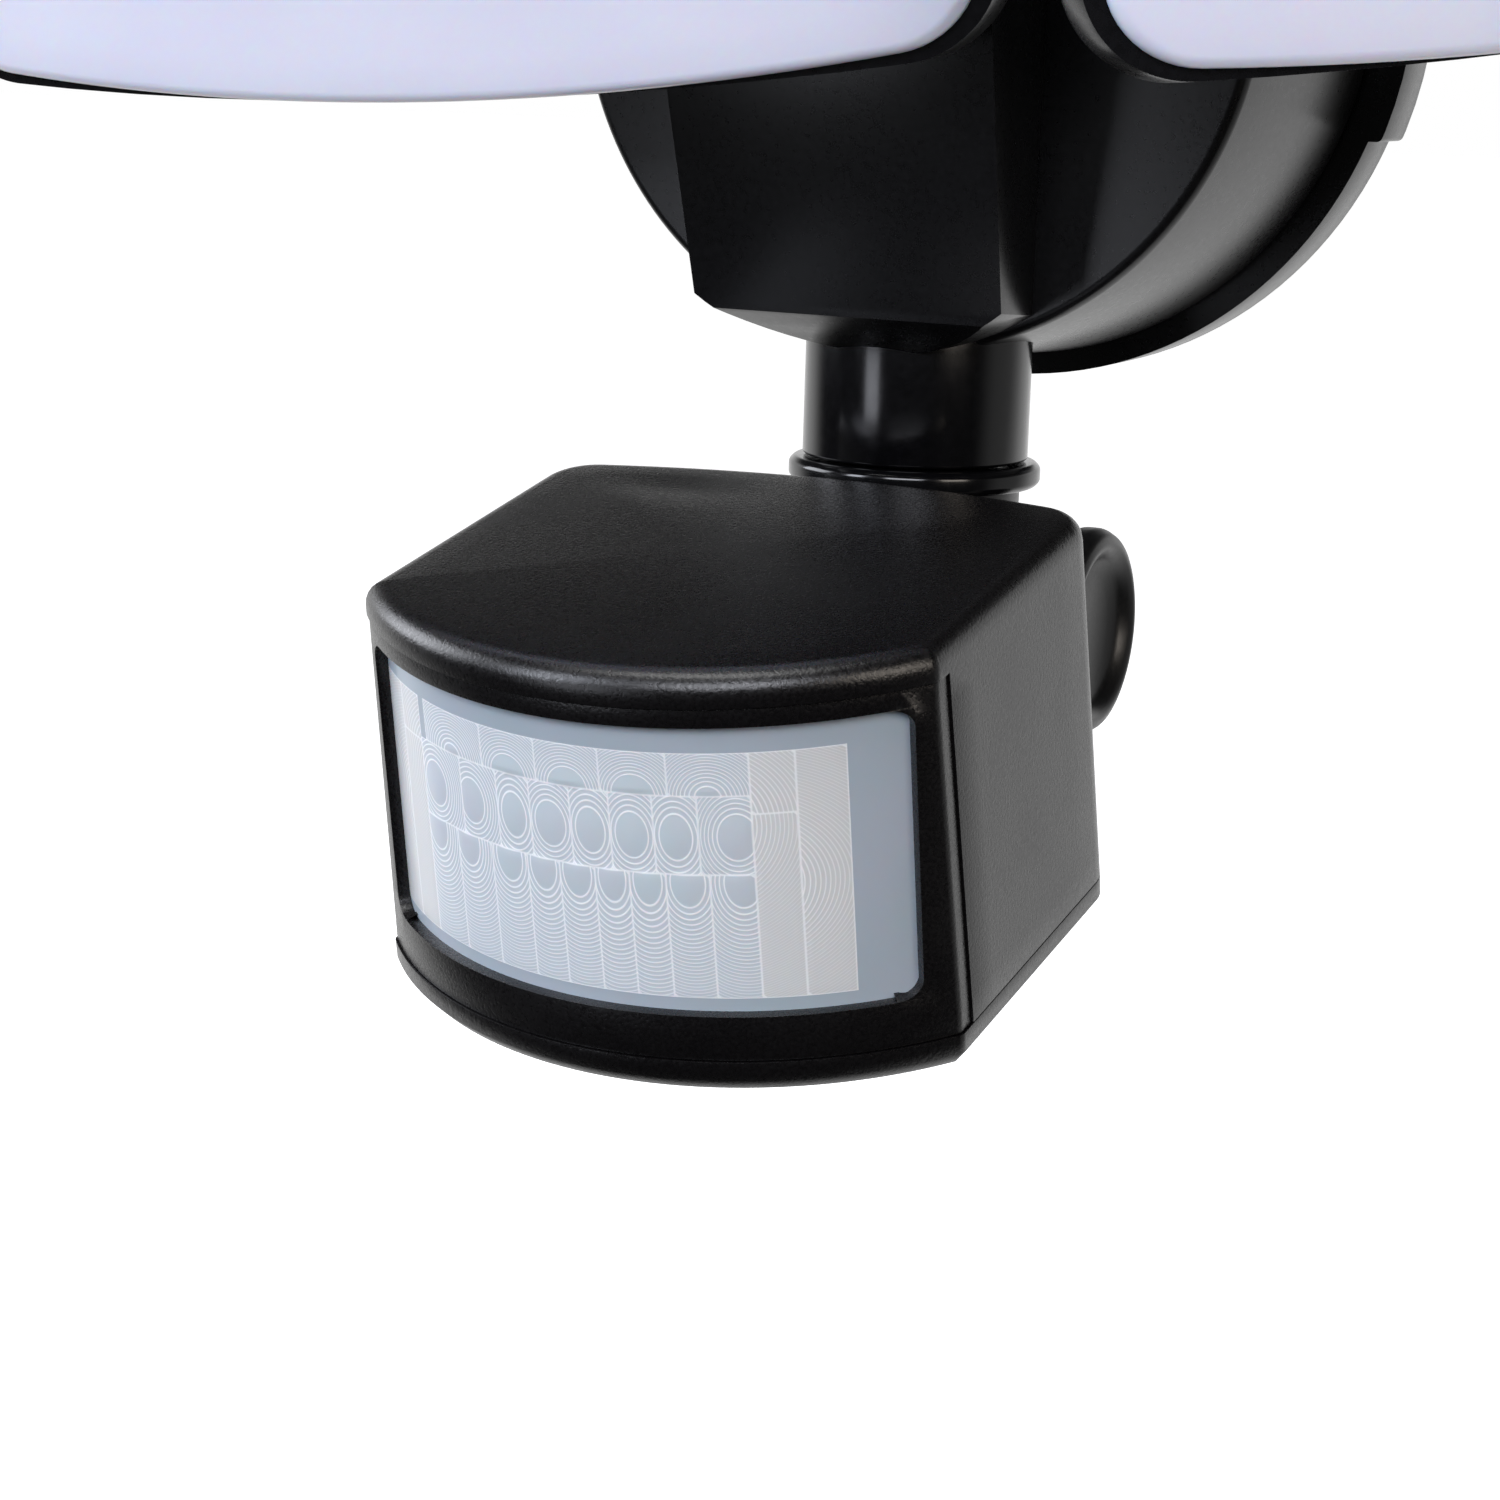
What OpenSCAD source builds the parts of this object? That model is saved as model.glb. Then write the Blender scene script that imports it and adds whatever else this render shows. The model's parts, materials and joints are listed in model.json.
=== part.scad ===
// Twin-head floodlight with a motion sensor, for a wall.
// X runs to the right, Y into the wall, Z up. The wall is the plane y = 0 and
// the origin is the centre of the round wall plate on that plane.

/* [Wall plate] */
// Radius of the round wall plate
plate_r = 60; // [58:0.5:72]
// Depth of the wall plate from the wall
plate_d = 11.5; // [9:0.5:14]
// Floor thickness of the wall plate
plate_floor = 3; // [2:0.1:4]
// How far the two side lugs stand out past the plate
lug_out = 1.8; // [1:0.1:3]
// Half angle of each side lug, in degrees
lug_angle = 21; // [12:1:30]
// Distance between the two wall screws
wall_screw_gap = 76; // [60:1:80]
// Radius of the wall screw holes
wall_screw_r = 2.5; // [2:0.1:3]
// Radius of the cable hole in the wall plate
cable_r = 9; // [6:0.5:12]

/* [Canopy drum] */
// Radius of the drum at its wall end
drum_back_r = 56.5; // [54.5:0.1:57]
// Radius of the drum at its front edge
drum_front_r = 53.4; // [50:0.1:54]
// Distance from the wall to the drum's front face
drum_front = 58.6; // [54:0.1:64]
// Width of the shadow groove between plate and drum
groove_w = 2; // [1:0.1:3]
// Wall thickness of the drum
drum_wall = 2.4; // [1.6:0.1:3]

/* [Central block] */
// Half width of the block at its front face
block_half = 25.5; // [23:0.1:30]
// Half width of the block where it meets the drum
block_half_back = 22; // [20:0.1:23]
// Distance from the wall to the block's front face at its fullest
block_front = 88; // [86:0.5:92]
// Height of the block's top above the origin
block_top = 73; // [72:0.5:80]
// Depth of the block's lowest point below the origin
block_bottom = 53.2; // [50:0.1:56]
// Radius of the bowed lower edge of the block
block_bow_r = 40; // [36:0.5:60]
// Wall thickness of the block
block_wall = 2.6; // [2:0.1:3]

/* [Sensor neck] */
// Outer radius of the neck tube
neck_r = 16.9; // [15.5:0.1:18]
// Distance from the wall to the neck's axis
neck_y = 47.8; // [40:0.1:50]
// Lower end of the neck tube, below the origin
neck_end = 69.5; // [66:0.5:76]
// Radius of the swivel collar
collar_r = 18.9; // [18.3:0.1:21]
// Height of the swivel collar
collar_h = 3.6; // [2.5:0.1:5]

/* [Tilt knuckle] */
// Radius of the knuckle barrel
barrel_r = 14.2; // [12:0.1:15]
// Half length of the knuckle barrel
barrel_half = 16; // [13:0.5:18]
// How far the tilt axis stands in front of the neck axis
knuckle_fwd = 4.2; // [2:0.1:6]
// Drop from the collar's underside to the tilt axis
knuckle_drop = 19.1; // [18.5:0.1:24]
// Thickness of each ear of the head's rear bracket
ear_t = 6; // [4:0.5:8]
// Radius of the clamp knob
knob_r = 15.2; // [12:0.1:16]
// Length of the clamp knob
knob_len = 10.5; // [8:0.5:13]
// Radius of the tilt bolt
bolt_r = 3; // [2:0.1:3.5]

/* [Sensor head] */
// Width of the head at its top
head_w = 83; // [76:0.5:100]
// Width of the head at its base
head_base_w = 86; // [76:0.5:104]
// Length of the straight sides, from the back to the front corners
head_side = 55; // [48:0.5:66]
// How far the curved front stands past the front corners
head_bow = 20; // [16:0.5:24]
// Height of the head down to the bottom seam
head_h = 53; // [50:0.5:64]
// Thickness of the bottom cover
base_t = 4.4; // [3.5:0.1:6]
// How far the back wall bulges at its middle
back_bulge = 4; // [2:0.1:5]
// Wall thickness of the head's shells
shell_t = 2.4; // [1.8:0.1:3]
// Downward tilt of the head at rest, in degrees
head_tilt = 11.7; // [0:0.1:20]
// Height of the cap's front lip above the bezel seam
cap_lip = 4.6; // [3:0.1:6]
// Depth of the side seam behind the front corners
seam_back = 3.4; // [2:0.1:5]
// Top edge of the window, below the head's top
win_top = 7.2; // [6.5:0.1:9]
// Bottom edge of the window, below the head's top
win_bottom = 46.8; // [40:0.1:47.5]
// Width of the side jambs beside the window
jamb_w = 2.2; // [1.8:0.1:4]
// Thickness of the lens sheet
lens_t = 1; // [0.6:0.1:1.4]

/* [Light heads] */
// Width of each diffuser
lamp_w = 150; // [130:1:156]
// Height of each diffuser
lamp_h = 106; // [90:1:112]
// Corner radius of each diffuser
lamp_corner = 12; // [8:0.5:20]
// How far the long edges bow out at their middle
lamp_sag = 4.4; // [2:0.1:6]
// How far the diffuser's face bows forward at its middle
lamp_bow = 8; // [4:0.5:10]
// Depth of each light head at its middle
lamp_depth = 26; // [22:0.5:28]
// Distance from the wrist axis to the diffuser's face
lamp_reach = 44.5; // [43:0.5:52]
// Thickness of the diffuser
diffuser_t = 2.2; // [1.5:0.1:3]
// How far the housing's skirt flares past the diffuser
skirt_out = 3.8; // [2:0.1:4]

/* [Arms] */
// Distance from the middle plane to each shoulder
shoulder_x = 54.3; // [52:0.1:60]
// Distance from the wall to the shoulders
shoulder_y = 61.3; // [60:0.1:66]
// Height of the shoulders
shoulder_z = 59; // [58:0.5:62]
// Length of each arm between its two pivots
arm_len = 40.2; // [36:0.1:48]
// Radius of the pivot eyes
eye_r = 10; // [8:0.1:10.5]
// Thickness of each pivot eye
eye_t = 9; // [7:0.1:11]
// Tilt of the left and the right light head at rest, in degrees
lamp_tilt = [19.7, 17.1]; // [0:0.1:30]
// Swing of the left and the right arm at rest, in degrees
arm_swing = [9.4, 79.6]; // [0:0.1:90]
// Turn of the left and the right light head at rest, in degrees
lamp_turn = [8.8, 37.8]; // [0:0.1:45]

/* [Fits] */
// Gap between parts that turn past each other
gap = 0.3; // [0.2:0.05:0.5]
// Radial clearance of a pin in its bore
fit = 0.05; // [0.02:0.01:0.09]
// Gap at a seam between two fixed covers
seam = 0.2; // [0.1:0.05:0.3]

/* [Hidden] */
$fn = 96;
big = 400;
eps = 0.02;
LEFT = 0;
RIGHT = 1;
spigot_r = drum_back_r - drum_wall - fit * 2;
spigot_t = 2.4;
spigot_end = plate_d + 8;
drum_back = plate_d + groove_w;
gasket_t = 1.5;
gasket_in = 48;
gasket_out = 54;
side_screw_r = 1.9;
neck_in_r = 12.5;
neck_bore_r = 14.2;
neck_shelf = neck_end - 11;
neck_top = 42;
clip_r = 20;
clip_h = 3.6;
snap_t = 1.4;
collar_top = neck_end + gap;
collar_low = collar_top + collar_h;
knuckle_y = -(neck_y + knuckle_fwd);
knuckle_z = -(collar_low + knuckle_drop);
pivot_back = 24;
pivot_drop = 28.1;
ear_in = barrel_half + gap + 0.1;
ear_out = ear_in + ear_t;
knob_in = ear_out + gap;
edge_r = 3;
rear_corner = 8;
front_corner = 2;
screw_r = 1.6;
screw_head_r = 2.8;
screw_head_h = 1.6;
bracket_plate = 3;
post_r = 3.2;
post_gap = 6;
dial_r = 5.2;
dial_hole_r = dial_r + 0.25;
dial_gap = 18;
dial_y = 25 - head_side;
board_y = 17 - head_side;
head_least_w = min(head_w, head_base_w);
lamp_R = (pow(lamp_w / 2, 2) + pow(lamp_bow, 2)) / (2 * lamp_bow);
stub_end = shoulder_x - 15.8;
stub_bore_r = 5.4;
spigot_pin_in = 27;
led_cols = 8;
led_rows = 5;
led_board_w = lamp_w - 30;
led_board_h = lamp_h - 34;
led_pitch = min((led_board_w - 8) / led_cols, (led_board_h - 2) / led_rows);
led_size = 3.2;
tray_wall = 2.2;
tray_flat = 15.6;
rim_in = 0.6;
tray_back_w = lamp_w - 54;
tray_back_h = lamp_h - 46;
block_knee = 0;
block_slope = 0.285;
block_cheek = 6;
block_brow = 33;
block_brow_in = 10;
block_over = 2;
block_side_run = 25;

// Draws its children on a plane parallel to the wall, with local z pointing out of the wall.
module out(d = 0) {
    translate([0, -d, 0]) rotate([90, 0, 0]) children();
}

// A cylinder along X from x0 to x1.
module rod_x(r, x0, x1) {
    translate([x0, 0, 0]) rotate([0, 90, 0]) cylinder(r = r, h = x1 - x0);
}

// ---- wall plate and what it carries ----

module plate_outline() {
    circle(r = plate_r);
    offset(r = 1) offset(delta = -1) intersection() {
        circle(r = plate_r + lug_out);
        square([3 * plate_r, 2 * plate_r * sin(lug_angle)], center = true);
    }
}

module wall_plate() {
    color("#1b1b1d") difference() {
        union() {
            out() linear_extrude(plate_d) plate_outline();
            out(plate_d - eps) cylinder(r = spigot_r, h = spigot_end - plate_d + eps);
        }
        out(plate_floor) cylinder(r = spigot_r - spigot_t, h = big);
        out(-eps) difference() {
            cylinder(r = gasket_out + fit, h = gasket_t + eps);
            translate([0, 0, -1]) cylinder(r = gasket_in - fit, h = gasket_t + 2);
        }
        out(-1) cylinder(r = cable_r, h = plate_floor + 2);
        for (s = [-1, 1]) translate([s * wall_screw_gap / 2, 0, 0])
            out(-1) cylinder(r = wall_screw_r, h = plate_floor + 2);
        for (s = [0, 180]) rotate([0, s, 0]) translate([0, -plate_d / 2, 0])
            rod_x(side_screw_r + fit, spigot_r - spigot_t - 1, plate_r + lug_out + 1);
    }
}

module wall_gasket() {
    color("#2a2a2a") out() difference() {
        cylinder(r = gasket_out, h = gasket_t);
        translate([0, 0, -1]) cylinder(r = gasket_in, h = gasket_t + 2);
    }
}

module cable_grommet() {
    lip = 2;
    color("#303032") out() difference() {
        union() {
            translate([0, 0, 0.2]) cylinder(r = cable_r - fit, h = plate_floor + 2);
            translate([0, 0, plate_floor + fit]) cylinder(r = cable_r + lip, h = 2);
        }
        translate([0, 0, -1]) cylinder(r = cable_r - 4, h = plate_floor + 6);
    }
}

module terminal_block() {
    poles = 3;
    pitch = 9;
    base_z = plate_floor + fit;
    color("#e8e8e4") translate([0, 0, 25]) out(base_z) difference() {
        translate([-poles * pitch / 2, -9, 0]) cube([poles * pitch, 18, 15]);
        for (i = [0 : poles - 1]) translate([(i - 1) * pitch, 0, 0]) {
            translate([0, 5, 6]) cylinder(r = 2.4, h = 12);
            translate([0, -5, 6]) cylinder(r = 2.4, h = 12);
        }
    }
}

module driver_board() {
    color("#2f6b3a") out(30) difference() {
        translate([-34, -26, 0]) cube([68, 44, 1.6]);
        for (x = [-30, 30], y = [-22, 14]) translate([x, y, -1]) cylinder(r = 1.6, h = 4);
    }
}

module driver_parts() {
    top = 31.6 + fit;
    color("#c9b04a") translate([-14, 0, -6]) out(top) translate([-9, -9, 0]) cube([18, 18, 15]);
    color("#20242c") translate([12, 0, -12]) out(top) cylinder(r = 6, h = 18);
    color("#20242c") translate([26, 0, -4]) out(top) cylinder(r = 4, h = 12);
    color("#c8c8c8") translate([14, 0, 8]) out(top) translate([-8, -4, 0]) cube([16, 8, 10]);
}

// ---- drum ----

module canopy_drum() {
    round_r = 1.6;
    color("#1b1b1d") difference() {
        out(drum_back) rotate_extrude() difference() {
            union() {
                polygon([[0, 0], [drum_back_r, 0],
                         [drum_front_r, drum_front - drum_back - round_r],
                         [drum_front_r - 0.5, drum_front - drum_back - 0.5],
                         [drum_front_r - round_r, drum_front - drum_back], [0, drum_front - drum_back]]);
            }
            polygon([[-1, -1], [drum_back_r - drum_wall, -1], [drum_back_r - drum_wall, 9],
                     [drum_front_r - drum_wall, drum_front - drum_back - drum_wall],
                     [-1, drum_front - drum_back - drum_wall]]);
        }
        out(drum_front - drum_wall - 1) cylinder(r = 8, h = drum_wall + 2);
        block_screw_places() out(drum_front - drum_wall - 1) cylinder(r = screw_r + fit, h = drum_wall + 2);
        translate([0, -neck_y, -neck_end]) cylinder(r = neck_r + fit, h = neck_end - neck_top + 3);
    }
}

module side_screws() {
    color("silver") for (s = [0, 180]) rotate([0, s, 0]) translate([0, -plate_d / 2, 0]) difference() {
        rod_x(side_screw_r, spigot_r - spigot_t, plate_r + lug_out - 0.4);
        translate([plate_r + lug_out - 1.6, -2.5, -0.4]) cube([3, 5, 0.8]);
    }
}

module block_screw_places() {
    for (x = [-15, 15], z = [-32, 32]) translate([x, 0, z]) children();
}

// ---- central block ----

// The block's outer form, or its cavity when shrunk by a wall thickness.
module block_form(t = 0) {
    low_front = block_front - block_slope * (block_bottom - block_cheek);
    half = block_half - t;
    half_back = block_half_back - t;
    back = drum_front + fit;
    over = shoulder_y - eye_r - 1;
    intersection() {
        rotate([90, 0, 90]) translate([0, 0, -half]) linear_extrude(2 * half) polygon([
            [-back + 2 * t, -block_bottom - 2], [-low_front + t, -block_bottom + block_cheek + t],
            [-block_front + t, block_knee], [-block_front + t, block_top - block_brow],
            [-block_front + block_brow_in + t, block_top - t], [-over - t, block_top - t],
            [-over - t, drum_back_r + 1 + t], [-back + 2 * t, drum_back_r + 1 + t]]);
        translate([0, 0, -big / 2]) linear_extrude(big) polygon([
            [-half_back, 0], [-half_back, -back], [-half, -block_front - 1],
            [half, -block_front - 1], [half_back, -back], [half_back, 0]]);
        out(over - block_over) linear_extrude(big) offset(r = 3) offset(delta = -3) union() {
            intersection() {
                translate([0, block_bow_r - block_bottom + t]) circle(r = block_bow_r - 0.01);
                translate([-half, -big]) square([2 * half, big]);
            }
            translate([-half, block_bow_r - block_bottom - block_side_run])
                square([2 * half, block_side_run + block_top - t + block_bottom - block_bow_r]);
        }
    }
}

module central_block() {
    color("#19191b") difference() {
        union() {
            difference() {
                block_form();
                block_form(block_wall);
            }
            for (s = [0, 180]) translate([0, -shoulder_y, shoulder_z]) rotate([0, s, 0])
                rod_x(eye_r - 0.5, block_half_back - block_wall, stub_end);
            intersection() {
                block_form();
                block_screw_places() out(drum_front) cylinder(r = 3.4, h = block_front);
            }
        }
        block_screw_places() out(drum_front - 1) cylinder(r = screw_r + fit, h = 12);
        for (s = [0, 180]) translate([0, -shoulder_y, shoulder_z]) rotate([0, s, 0])
            rod_x(stub_bore_r, 10, stub_end + 1);
        translate([0, -neck_y, -neck_end]) cylinder(r = neck_r + fit, h = neck_end - neck_top + 3);
    }
}

module block_screws() {
    color("silver") block_screw_places() {
        out(drum_front - drum_wall - 2.2) cylinder(r = 3, h = 2.1);
        out(drum_front - drum_wall - 0.1) cylinder(r = screw_r, h = 10);
    }
}

// ---- neck and knuckle ----

module neck_tube() {
    color("#1c1c1e") translate([0, -neck_y, 0]) difference() {
        translate([0, 0, -neck_end]) cylinder(r = neck_r, h = neck_end - neck_top);
        translate([0, 0, -neck_end - 1]) cylinder(r = neck_in_r, h = neck_end);
        translate([0, 0, -neck_shelf]) cylinder(r = neck_bore_r, h = neck_end);
    }
}

// A C-shaped clip round the neck, cut flat where it lies against the drum's front wall.
module neck_clip() {
    color("#8a8d90") difference() {
        translate([0, -neck_y, -neck_top - clip_h - seam]) difference() {
            cylinder(r = clip_r, h = clip_h);
            translate([0, 0, -1]) cylinder(r = neck_r + fit, h = clip_h + 2);
        }
        translate([-big / 2, -drum_front + drum_wall + gap - big, -big / 2]) cube([big, big, big]);
    }
}

module swivel_collar() {
    color("#1c1c1e") translate([0, -neck_y, -collar_low]) rotate_extrude() difference() {
        polygon([[neck_in_r + 1, 0], [collar_r - 0.8, 0], [collar_r, 0.8],
                 [collar_r, collar_h - 0.8], [collar_r - 0.8, collar_h], [neck_in_r + 1, collar_h]]);
    }
}

module elbow() {
    stem_r = neck_in_r - fit;
    root_r = neck_in_r + 1 - fit;
    color("#161618") difference() {
        union() {
            translate([0, -neck_y, -collar_low]) cylinder(r = root_r, h = collar_h);
            translate([0, -neck_y, -collar_top - eps]) cylinder(r = stem_r, h = collar_top - neck_shelf + 4);
            translate([0, -neck_y, knuckle_z]) cylinder(r = root_r, h = -knuckle_z - collar_low + eps);
            translate([0, -neck_y, -collar_low - 4]) cylinder(r = collar_r - 3, h = 4 - fit);
            translate([0, knuckle_y, knuckle_z]) rod_x(barrel_r, -barrel_half, barrel_half);
        }
        translate([0, knuckle_y, knuckle_z]) rod_x(bolt_r + fit, -barrel_half - 1, barrel_half + 1);
        translate([0, -neck_y, -collar_low - 6]) cylinder(r = 7, h = collar_low);
        translate([0, -neck_y, -neck_shelf + gap]) difference() {
            cylinder(r = stem_r + 1, h = snap_t + 2 * fit);
            translate([0, 0, -1]) cylinder(r = stem_r - 1.4, h = snap_t + 4);
        }
    }
}

module snap_ring() {
    color("silver") translate([0, -neck_y, -neck_shelf + gap + fit]) difference() {
        cylinder(r = neck_bore_r - 0.4, h = snap_t);
        translate([0, 0, -1]) cylinder(r = neck_in_r - fit - 1.3, h = snap_t + 2);
        translate([0, 0, -1]) rotate([0, 0, 45]) cube([big, big, snap_t + 2]);
    }
}

// ---- sensor head, drawn in its own frame: origin at the top of its back, front towards -Y ----

module head_frame() {
    translate([0, knuckle_y, knuckle_z]) rotate([head_tilt, 0, 0])
        translate([0, -pivot_back, pivot_drop]) children();
}

// Plan of the head at a given width, pulled in by an inset.
module head_plan(w, inset = 0) {
    front_R = (pow(w / 2, 2) + pow(head_bow, 2)) / (2 * head_bow);
    back_R = (pow(w / 2, 2) + pow(back_bulge, 2)) / (2 * back_bulge);
    offset(delta = -inset) offset(r = front_corner) offset(delta = -front_corner)
        intersection() {
            translate([-w / 2, -head_side - head_bow]) square([w, head_side + head_bow + back_bulge]);
            translate([0, -head_side - head_bow + front_R]) circle(r = front_R, $fn = 160);
            translate([0, back_bulge - back_R]) circle(r = back_R, $fn = 200);
            rear_rounding(w);
        }
}

// A tall slot with round rear corners, which rounds the back of the plan.
module rear_rounding(w) {
    span = w / 2 - rear_corner;
    hull() {
        for (s = [-1, 1]) translate([s * span, -rear_corner + 1]) circle(r = rear_corner, $fn = 48);
        translate([-span - rear_corner, -head_side - head_bow]) square([w, 1]);
        translate([0, -rear_corner]) circle(r = rear_corner + back_bulge, $fn = 64);
    }
}

function width_at(z) = head_w + (head_base_w - head_w) * z / head_h;

module head_slice(z, inset = 0) {
    translate([0, 0, -z]) linear_extrude(0.01) head_plan(width_at(z), inset);
}

// The whole outer body of the head down to a depth z1.
module head_body(z1, inset = 0) {
    hull() {
        head_slice(inset, inset + edge_r);
        head_slice(inset + edge_r * 0.3, inset + edge_r * 0.3);
        head_slice(inset + edge_r, inset);
        head_slice(z1, inset);
    }
}

// Everything in front of the side seam and below the cap's lip.
module bezel_zone(grow = 0) {
    translate([-head_w, -big - head_side + seam_back + grow, -big - cap_lip + grow])
        cube([2 * head_w, big, big]);
}

module window_cut(grow = 0) {
    half = head_w / 2 - jamb_w + grow;
    rotate([90, 0, 0]) translate([0, 0, head_side - 3]) linear_extrude(head_bow + 10)
        offset(r = 2.5) offset(delta = -2.5)
        translate([-half, -win_bottom - grow]) square([2 * half, win_bottom - win_top + 2 * grow]);
}

module sensor_shell() {
    post_low = -head_h + post_gap;
    color("#141416") head_frame() difference() {
        union() {
            difference() {
                head_body(head_h);
                head_body(head_h + 1, shell_t);
            }
            base_screw_places() translate([0, 0, post_low]) cylinder(r = post_r, h = -shell_t - post_low + 0.5);
        }
        bezel_zone();
        base_screw_places() translate([0, 0, post_low - 1]) cylinder(r = screw_r + fit, h = 12);
        bracket_screw_places() rotate([90, 0, 0]) cylinder(r = screw_r + fit, h = 20, center = true);
    }
}

module sensor_bezel() {
    color("#141416") head_frame() difference() {
        intersection() {
            difference() {
                head_body(head_h);
                head_body(head_h + 1, shell_t);
            }
            bezel_zone(-seam);
        }
        window_cut();
    }
}

module sensor_lens() {
    inset = shell_t + seam;
    color("#cfd8de") head_frame() intersection() {
        difference() {
            head_body(head_h, inset);
            head_body(head_h + 1, inset + lens_t);
        }
        window_cut(1.4);
        bezel_zone(-2);
    }
}

module sensor_base() {
    color("#141416") head_frame() difference() {
        union() {
            hull() {
                translate([0, 0, -head_h - seam - 2.6]) linear_extrude(2.6) head_plan(head_base_w);
                translate([0, 0, -head_h - seam - base_t]) linear_extrude(1) head_plan(head_base_w, 1.5);
            }
            base_screw_places() translate([0, 0, -head_h - 1]) cylinder(r = post_r, h = 1 + post_gap - seam);
        }
        translate([0, 0, -head_h - base_t + shell_t]) linear_extrude(base_t) difference() {
            head_plan(head_base_w, shell_t);
            base_screw_places() circle(r = post_r);
        }
        for (x = [-1, 0, 1]) translate([x * dial_gap, dial_y, -head_h - 10]) cylinder(r = dial_hole_r, h = 20);
        base_screw_places() translate([0, 0, -head_h - 10]) cylinder(r = screw_r + fit, h = 20);
        base_screw_places() translate([0, 0, -head_h - base_t - seam - 1])
            cylinder(r = screw_head_r + fit, h = screw_head_h + fit * 2 + 1);
    }
}

module base_screw_places() {
    for (x = [-1, 1]) {
        translate([x * (head_least_w / 2 - 8), -11, 0]) children();
        translate([x * (head_least_w / 2 - 8), -head_side + 9, 0]) children();
    }
}

module base_screws() {
    color("silver") head_frame() base_screw_places() {
        translate([0, 0, -head_h - base_t - seam + fit]) cylinder(r = screw_head_r, h = screw_head_h);
        translate([0, 0, -head_h - base_t - seam + 1]) cylinder(r = screw_r, h = base_t + post_gap + 6);
    }
}

module sensor_board() {
    w = head_least_w - 2 * shell_t - 10;
    color("#2f6b3a") head_frame() translate([-w / 2, board_y, -head_h + 3]) cube([w, 1.6, head_h - 12]);
}

module pir_can() {
    z = -(win_top + win_bottom) / 2;
    color("#b9bcc0") head_frame() translate([0, board_y - fit, z]) rotate([90, 0, 0]) {
        cylinder(r = 4.9, h = 0.6);
        translate([0, 0, 0.6 - eps]) cylinder(r = 4.15, h = 4.2);
    }
}

module photocell() {
    color("#c8a070") head_frame() translate([20, board_y - fit, -win_bottom + 6]) rotate([90, 0, 0])
        cylinder(r = 2.5, h = 2.2);
}

module dial(i) {
    slot_w = 1.2;
    color("#2a2a2c") head_frame() translate([i * dial_gap, dial_y, -head_h - base_t - seam + 0.4]) difference() {
        cylinder(r = dial_r, h = 8);
        translate([-slot_w / 2, -dial_r, -1]) cube([slot_w, 2 * dial_r, 2.2]);
    }
}

module dial_time() { dial(-1); }
module dial_light() { dial(0); }
module dial_range() { dial(1); }

module head_bracket() {
    plate_w = 2 * ear_out;
    root = back_bulge + fit;
    color("#161618") head_frame() difference() {
        union() {
            for (s = [-1, 1]) translate([s * (ear_in + ear_out) / 2 - ear_t / 2, 0, 0]) {
                translate([0, pivot_back, -pivot_drop]) rod_x(barrel_r, 0, ear_t);
                translate([0, root, -pivot_drop - barrel_r + 2]) cube([ear_t, pivot_back - root, 2 * barrel_r - 4]);
            }
            translate([-ear_out, root, -pivot_drop - barrel_r + 2]) cube([plate_w, bracket_plate, 2 * barrel_r - 4]);
        }
        translate([0, pivot_back, -pivot_drop]) rod_x(bolt_r + fit, -ear_out - 1, ear_out + 1);
        bracket_screw_places() rotate([90, 0, 0]) cylinder(r = screw_r + fit, h = 20, center = true);
    }
}

module bracket_screw_places() {
    for (x = [-12, 12]) translate([x, back_bulge + fit, -pivot_drop]) children();
}

module bracket_screws() {
    color("silver") head_frame() bracket_screw_places() rotate([-90, 0, 0]) {
        translate([0, 0, -shell_t - 4]) cylinder(r = screw_r, h = shell_t + bracket_plate + fit + 4.2);
        translate([0, 0, bracket_plate + fit]) cylinder(r = screw_head_r, h = screw_head_h);
    }
}

module tilt_bolt() {
    color("silver") translate([0, knuckle_y, knuckle_z]) rotate([head_tilt, 0, 0]) {
        rod_x(bolt_r, -ear_out - 0.6, knob_in + knob_len - 5);
    }
}

module tilt_nut() {
    nut_len = 5;
    color("#8a8d90") translate([0, knuckle_y, knuckle_z]) rotate([head_tilt, 0, 0]) difference() {
        translate([-ear_out - fit - nut_len, 0, 0]) rotate([0, 90, 0]) union() {
            cylinder(r = 6, h = nut_len, $fn = 6);
            translate([0, 0, nut_len - 1.2]) cylinder(r = 7.5, h = 1.2);
        }
        rod_x(bolt_r + fit, -ear_out - 1.5, 0);
    }
}

module tilt_knob() {
    dish = 3.2;
    rim = 2.6;
    color("#161618") translate([0, knuckle_y, knuckle_z]) rotate([head_tilt, 0, 0])
        translate([knob_in, 0, 0]) rotate([0, 90, 0]) rotate_extrude() difference() {
            union() {
                polygon([[0, 0], [knob_r - 2.4, 0], [knob_r - 1.4, 1.2], [knob_r - 1.4, 2.6],
                         [knob_r - 2.2, 3.4], [knob_r - 0.6, 4.6], [knob_r, 6], [knob_r, knob_len - 2.6],
                         [knob_r - 0.8, knob_len - 0.8], [knob_r - rim, knob_len],
                         [knob_r - rim - 2.4, knob_len - dish * 0.7], [0, knob_len - dish]]);
            }
            translate([-1, -1]) square([bolt_r + fit + 1, knob_len - 4]);
        }
}

// ---- light heads, drawn in the tilted frame of their shoulder ----

function side(k) = k == LEFT ? -1 : 1;

module shoulder_frame(k) {
    translate([side(k) * shoulder_x, -shoulder_y, shoulder_z]) rotate([lamp_tilt[k], 0, 0]) children();
}

module wrist_frame(k) {
    shoulder_frame(k) translate([arm_len * sin(arm_swing[k]), -arm_len * cos(arm_swing[k]), 0])
        rotate([0, 0, lamp_turn[k]]) children();
}

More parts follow.
